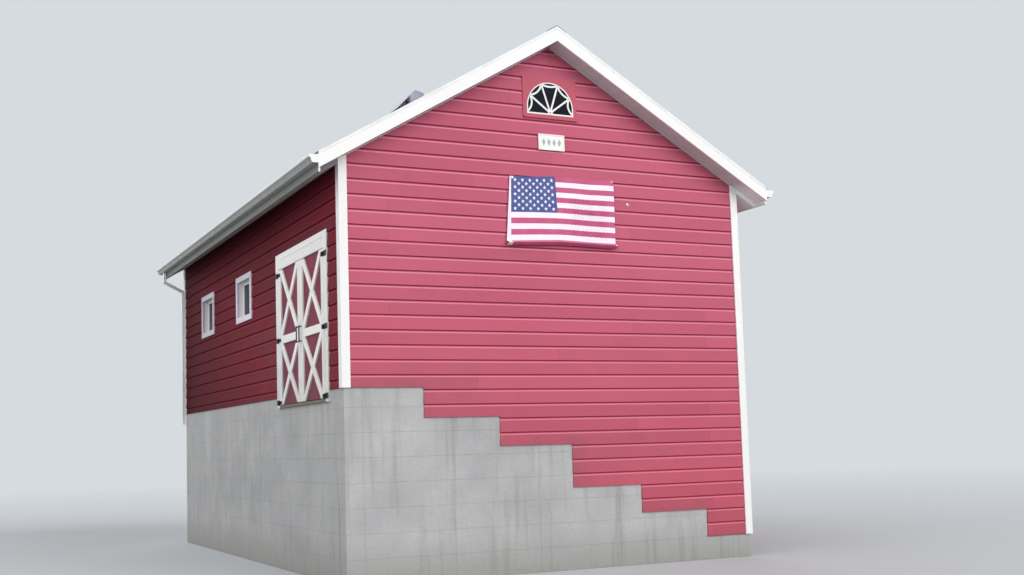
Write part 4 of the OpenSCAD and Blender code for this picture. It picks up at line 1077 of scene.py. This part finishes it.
def flag_point(s, t, lift=0.0):
    """Place of the cloth at s along and t down, lifted off its outer side."""
    outer, inner, fly = (a + (b - a) * t for a, b in EDGE_X)
    share = max(0.0, (s - HOIST) / (1 - HOIST))
    if s < HOIST:
        x = inner + (inner - outer) * (s - HOIST) / HOIST
    else:
        bow = 0.036 * max(0.0, 1 - t / 0.54) * ease(0.0, 0.44, share) * (1 - ease(0.44, 1.0, share))
        x = inner + (fly - inner) * share - bow
    i, a = between(HANG_S, share)
    j, b = between(HANG_T, t)
    row0, row1 = ((1 - a) * HANG_Z[k][i] + a * HANG_Z[k][i + 1] for k in (j, j + 1))
    z = row0 + (row1 - row0) * b

    def ripple(along, down, seed):
        return perlin(Vector((s * along, t * down, seed)))

    swell = 0.010 * ripple(2.6, 1.7, 3.1) + 0.006 * ripple(6.0, 4.0, 8.4)
    hang = 0.007 * math.sin(2 * math.pi * (s * 2.1 + 0.15 * t)) * ease(0.05, 0.5, t)
    zone = ease(0.50, 0.62, s) * (1 - ease(0.90, 0.99, s)) * ease(0.20, 0.36, t) * (1 - ease(0.86, 0.95, t))
    ridge = 0.0080 * zone * math.sin(2 * math.pi * (s * 1.6 - t * 0.9) / 0.052 + 2.0 * ripple(9, 7, 1.3))
    tight = (1 - ease(0.0, 0.10, t)) * ease(0.03, 0.1, s)
    pucker = 0.0022 * math.sin(2 * math.pi * s / 0.021 + 3 * ripple(5, 3, 5.0)) * tight
    last = max(0.0, STRIPES * t - STRIPES + 1)
    wavy = 0.006 * last * math.sin(9 * s + 0.7)
    curl = 0.066 * ease(0.0, 0.50, last) - 0.046 * ease(0.50, 1.0, last) + wavy
    pinned = min(1.0, 6 * min(s + 0.25 * t, (1 - s) + 0.35 * t, 1.0))
    d = 0.0085 + (abs(swell) + 0.8 * abs(hang)) * pinned + ridge + pucker * pinned + curl
    return Vector((x, -(FLAG_D + max(0.0022, d) + lift), z))


def stripe(i, j):
    """Material of the cell at column i and row j: 0 red, 1 white, 2 navy."""
    s, t = (columns[i] + columns[i + 1]) / 2, (j + 0.5) / ROWS
    if s < HOIST:
        return 1
    return 2 if s < CANTON and t < CANTON_END else int(t * STRIPES) % 2


columns = [0.0, HOIST] + [HOIST + (CANTON - HOIST) * i / CANTON_COLS for i in range(1, CANTON_COLS + 1)]
columns += [CANTON + (1 - CANTON) * i / FIELD_COLS for i in range(1, FIELD_COLS + 1)]
wide, last_col, last_row = len(columns), len(columns) - 1, ROWS * len(columns)
back = wide * (ROWS + 1)
points, grain, data = [], [], []
for side in (0, 1):
    for t in (j / ROWS for j in range(ROWS + 1)):
        for s in columns:
            points.append(flag_point(s, t, CLOTH_T * side))
            grain.append((s * DRAWN_W, t * DRAWN_H, side * 0.001))
            across = abs(s - CANTON) < 0.003 or abs(s - HOIST) < 0.002
            data.append((0.5, float(across or abs((t * STRIPES + 0.5) % 1 - 0.5) < 0.03), 0.0))
faces, colours = [], []
for j in range(ROWS):
    for i in range(last_col):
        a, b = j * wide + i, (j + 1) * wide + i
        faces += [[a, a + 1, b + 1, b], [x + back for x in (b, b + 1, a + 1, a)]]
        colours += [stripe(i, j)] * 2
hems = [(i, i + 1, i, 0) for i in range(last_col)]
hems += [(last_row + i + 1, last_row + i, i, ROWS - 1) for i in range(last_col)]
hems += [((j + 1) * wide, j * wide, 0, j) for j in range(ROWS)]
hems += [(j * wide + last_col, (j + 1) * wide + last_col, last_col - 1, j) for j in range(ROWS)]
for a, b, i, j in hems:
    faces.append([b, a, a + back, b + back])
    colours.append(stripe(i, j))
p = Piece()
p.solid(points, faces, grain, data)
p.slots = colours
flag_paints = ["flag_red", "flag_white", "flag_navy"]
flag = p.make("flag_cloth_piece", flag_paints, "flag_cloth", replaces=["flag"], smooth=60)

p = Piece()
for row in range(STAR_ROWS):
    for col in range(row % 2, STAR_COLS, 2):
        s0 = HOIST + (CANTON - HOIST) * (col + 1) / (STAR_COLS + 1)
        t0 = CANTON_END * (row + 1) / (STAR_ROWS + 1)
        ring = [(s0, t0)]
        for k in range(10):
            a, r = math.pi / 2 + k * math.pi / 5, STAR_R * (STAR_WAIST if k % 2 else 1)
            ring.append((s0 + r * math.cos(a) / DRAWN_W, t0 - r * math.sin(a) / DRAWN_H))
        points = [flag_point(s, t, CLOTH_T + lift) for lift in (0.0001, 0.0008) for s, t in ring]
        faces = []
        for i, j in zip(range(1, 11), [*range(2, 11), 1]):
            faces += [[0, j, i], [11, 11 + i, 11 + j], [i, j, 11 + j, 11 + i]]
        grain = [(s * DRAWN_W, t * DRAWN_H, 0.0) for s, t in ring] * 2
        p.solid(points, faces, grain, [(0.5, 0.0, 0.0)] * 22)
stars = p.make("flag_stars", ["star"], "flag_cloth")

p = Piece()
for s, t, r in TACKS:
    q = flag_point(s, t, CLOTH_T)
    dome(p, FRONT, q.x, q.z, -q.y - 0.0006, r, 0.004, sides=14)
tacks = p.make("flag_tacks", ["white_metal"], "gutter_metal", smooth=40)

# A small hook on the wall beside the flag: how its wire runs out from the wall and up
HOOK_X, HOOK_Z, HOOK_D = 1.180, 4.938, SHEATH_Y + 0.013
ROSE_R, ROSE_H, WIRE_R, WIRE_SIDES = 0.019, 0.007, 0.0035, 8
HOOK = ((0.0, 0.0), (0.014, 0.0), (0.030, -0.003), (0.040, -0.012), (0.040, -0.024), (0.031, -0.034),
        (0.020, -0.034))
p = Piece()
dome(p, FRONT, HOOK_X, HOOK_Z, HOOK_D, ROSE_R, ROSE_H, sides=16)
points = []
for i, (out, up) in enumerate(HOOK):
    way = (Vector(HOOK[min(len(HOOK) - 1, i + 1)]) - Vector(HOOK[max(0, i - 1)])).normalized()
    for a in (2 * math.pi * k / WIRE_SIDES for k in range(WIRE_SIDES)):
        wide, bulge = WIRE_R * math.sin(a), WIRE_R * math.cos(a)
        points.append(FRONT.at(HOOK_X + wide, HOOK_Z + up + way.x * bulge, HOOK_D + out - way.y * bulge))
start, end = list(range(WIRE_SIDES)), list(range((len(HOOK) - 1) * WIRE_SIDES, len(HOOK) * WIRE_SIDES))
p.solid(points, [f[::-1] for f in skin(len(HOOK), WIRE_SIDES)] + [start, end[::-1]])
p.make("wall_hook", ["white_metal"], "gutter_metal", smooth=50)

# Downspouts: fluted tubes with elbows, straps and a mouth
SPOUT_Y = HALF_L - CORNER_W / 2
SPOUT_W, SPOUT_D, SPOUT_T, CRIMP = 0.076, 0.052, 0.002, 0.0012
SPOUT_ROUND, FLUTE = 0.005, 0.0035
WALL_X, OUTLET_X = HALF_W + 0.0005 + SPOUT_D / 2, EAVE_X + 0.127 * 0.62 / 2
ELBOW_LOW, ELBOW_HIGH, SPOUT_TOP = 4.760, 4.940, 5.1285
CLIP_HALF, CLIP_T, CLIP_H, CLIP_D0, CLIP_D1 = 0.0405, 0.002, 0.028, HALF_W + 0.0002, HALF_W + 0.0548
LEFT_FOOT, LEFT_CLIPS = 2.225, (2.42, 4.35)
RIGHT_FOOT, RIGHT_CLIPS = 0.120, (0.42, 2.35, 4.35)


def spout_section():
    """Outline of the tube, y across and x off the wall, with two shallow flutes on each long side."""
    w, d, r = SPOUT_W / 2, SPOUT_D / 2, SPOUT_ROUND
    side = [(r - w, 0), (-0.021, 0), (-0.0165, 1), (-0.012, 0)]
    side += [(-a, f) for a, f in reversed(side)]
    end = [(r - d, 0), (-0.007, 0), (-0.003, 1), (0.003, 1), (0.007, 0), (d - r, 0)]
    half = [(a, -d + FLUTE * f) for a, f in side] + [(w - FLUTE * f, a) for a, f in end]
    return half + [(-a, -b) for a, b in half]


def spout(piece, sx, bottom):
    """A tube from its foot up the wall, out under the eave through two elbows and up to the gutter."""
    path = [(WALL_X, z) for z in (bottom, ELBOW_LOW - 0.07, ELBOW_LOW - 0.035, ELBOW_LOW)]
    path += [(WALL_X + (OUTLET_X - WALL_X) * t, ELBOW_LOW + (ELBOW_HIGH - ELBOW_LOW) * t)
             for t in (0.09, 0.18, 0.82, 0.91, 1.0)]
    path += [(OUTLET_X, z) for z in (ELBOW_HIGH + 0.035, ELBOW_HIGH + 0.07, SPOUT_TOP)]
    section = spout_section()
    shift = [rng.uniform(0, 40) for _ in range(3)]
    points, grain = [], []
    for wall_in in (0.0, SPOUT_T):
        for i, (x, z) in enumerate(path):
            steps = [(Vector(q) - Vector(o)).normalized() for o, q in zip(path, path[1:])]
            before, after = steps[max(0, i - 1)], steps[min(len(steps) - 1, i)]
            way = (before + after).normalized()
            stretch = 1 / max(0.5, way.dot(before))
            shrink = wall_in + (CRIMP if 0 < i < len(path) - 1 and i % 2 else 0.0)
            for y, off in section:
                across, out = ((abs(c) - shrink) * math.copysign(1, c) for c in (y, off))
                out *= stretch
                points.append(Vector((sx * (x + way.y * out), SPOUT_Y + across, z - way.x * out)))
                grain.append((z + shift[0], y + shift[1], off + shift[2]))
    n, m = len(section), len(path)
    base, top = n * m, n * (m - 1)
    faces = skin(m, n) + [f[::-1] for f in skin(m, n, base)]
    for a, b in zip(range(n), [*range(1, n), 0]):
        faces += [[b, a, base + a, base + b], [top + a, top + b, base + top + b, base + top + a]]
    piece.solid(points, [f[::sx] for f in faces], grain)


p = Piece()
spout(p, -1, LEFT_FOOT)
spout(p, 1, RIGHT_FOOT)
for face, centre, heights in ((LEFT, -SPOUT_Y, LEFT_CLIPS), (RIGHT, SPOUT_Y, RIGHT_CLIPS)):
    left, right = centre - CLIP_HALF, centre + CLIP_HALF
    for z in heights:
        for u0, u1, d0, d1 in ((left, right, CLIP_D1 - 0.0018, CLIP_D1),
                               (left, left + CLIP_T, CLIP_D0, CLIP_D1 - 0.0013),
                               (right - CLIP_T, right, CLIP_D0, CLIP_D1 - 0.0013)):
            board(p, face, rect(u0, u1, z, z + CLIP_H), d0, d1, chamfer=0.0004)
p.make("downspouts_fluted", ["white_metal"], "gutter_metal", replaces=["downspouts"], smooth=35)

# Hangers across the gutters
HANGERS, HANGER_Y, HANGER_STEP, HANGER_HALF = 13, -4.5, 0.75, 0.011
p = Piece()
for side in (-1, 1):
    x0, x1 = pair(0, side, EAVE_X + 0.0035, EAVE_X + 0.1235)
    for y in (HANGER_Y + HANGER_STEP * i for i in range(HANGERS)):
        outline = rect(x0, x1, y - HANGER_HALF, y + HANGER_HALF)
        board(p, FLOOR, outline, GUTTER_TOP - 0.009, GUTTER_TOP - 0.0068, chamfer=0.0005)
p.make("gutter_hangers", ["white_metal"], "gutter_metal")

# CAD nodes that stay: their material, the width that softens their edges, and the nodes
KEPT = (
    ("concrete", 0.006, "foundation_left", "foundation_right", "foundation_front", "foundation_back"),
    ("wall_inside", 0, "front_wall", "back_wall"),
    ("wall_inside_y", 0, "left_wall_pier", "left_wall_over_door", "left_wall_rear", "right_wall"),
    ("white_z", 0.003, "corner_boards"),
    ("white_x", 0.002, "rake_boards", "window_sashes"),
    ("fascia", 0.003, "eave_fascias"),
    ("red_x", 0.002, "fan_panel"),
    ("soffit_x", 0.002, "eave_returns"),
    ("timber_x", 0.003, "floor_joists", "rafters"),
    ("timber_y", 0.003, "floor_ledger", "floor_girder", "ridge_board"),
    ("timber_z", 0.004, "floor_posts"),
    ("sill", 0.005, "door_sill"),
    ("gutter", 0, "gutters"),
    ("vent", 0, "roof_vent"),
    ("iron", 0.0008, "door_pintles", "near_leaf_straps", "near_leaf_handle", "far_leaf_straps",
     "far_leaf_handle"),
    ("glass", 0, "window_glass"),
)
for material, width, *names in KEPT:
    for obj in (NODES[name] for name in names):
        obj.data.materials.clear()
        obj.data.materials.append(mats[material])
        if width:
            soft = obj.modifiers.new("soft_edges", "BEVEL")
            soft.width, soft.segments, soft.use_clamp_overlap = width, 1, True
            soft.limit_method, soft.angle_limit = "ANGLE", math.radians(40)

# Studio
FLOOR_SIDES, FLOOR_R, FADE_FROM, FADE_TO = 96, 60.0, 12.0, 46.0
FLOOR_SEEN, FLOOR_LIT = (0.60, 0.62, 0.64, 1), (0.26, 0.26, 0.25, 1)


def studio_floor():
    """A pale floor that fades into the backdrop with distance from the barn."""
    mat = bpy.data.materials.new("studio_floor")
    tree = Tree(mat)
    seen = tree.node("LightPath").outputs["Is Camera Ray"]
    matt = tree.node("BsdfDiffuse", {0: tree.mix(seen, FLOOR_LIT, FLOOR_SEEN)})
    place = tree.node("TexCoord").outputs["Object"]
    away = tree.node("VectorMath", {0: place}, operation="LENGTH").outputs["Value"]
    clear, fade = tree.node("BsdfTransparent"), tree.span(away, FADE_FROM, FADE_TO)
    fading = tree.node("MixShader", {0: fade, 1: matt.outputs[0], 2: clear.outputs[0]})
    tree.node("OutputMaterial", {0: fading.outputs[0]})
    return mat


mesh = bpy.data.meshes.new("studio_floor")
rim = circle(FLOOR_R, (0, 0), [2 * math.pi * i / FLOOR_SIDES for i in range(FLOOR_SIDES)])
mesh.from_pydata([(x, y, -0.001) for x, y in rim], [], [list(range(FLOOR_SIDES))])
mesh.materials.append(studio_floor())
floor = bpy.data.objects.new("studio_floor", mesh)
SCENE.collection.objects.link(floor)

# A faint cool fill that lights the barn, and a pale backdrop that the camera sees
SCENE.world = bpy.data.worlds.new("studio")
tree = Tree(SCENE.world)
path = tree.node("LightPath").outputs
seen = tree.math("MAXIMUM", path["Is Camera Ray"], path["Is Glossy Ray"])
seen = tree.math("MAXIMUM", seen, path["Is Transmission Ray"])
fill = tree.node("Background", {0: (0.90, 0.96, 1.0, 1), 1: 0.22}).outputs[0]
backdrop = tree.node("Background", {0: lin(214, 219, 223), 1: 1.0}).outputs[0]
tree.node("OutputWorld", {0: tree.node("MixShader", {0: seen, 1: fill, 2: backdrop}).outputs[0]})


def lamp(name, toward, strength, spread):
    """A soft distant lamp that shines from a direction."""
    data = bpy.data.lights.new(name, "SUN")
    data.energy, data.angle = strength, math.radians(spread)
    obj = bpy.data.objects.new(name, data)
    SCENE.collection.objects.link(obj)
    obj.rotation_mode = "QUATERNION"
    obj.rotation_quaternion = (-Vector(toward)).to_track_quat("-Z", "Y")


lamp("key", (0.46, -0.78, 0.34), 2.25, 50)
lamp("left_fill", (-0.88, -0.32, 0.27), 2.6, 110)
lamp("back_fill", (0.10, 0.85, 0.45), 1.2, 60)

SCENE.view_settings.view_transform = "Standard"
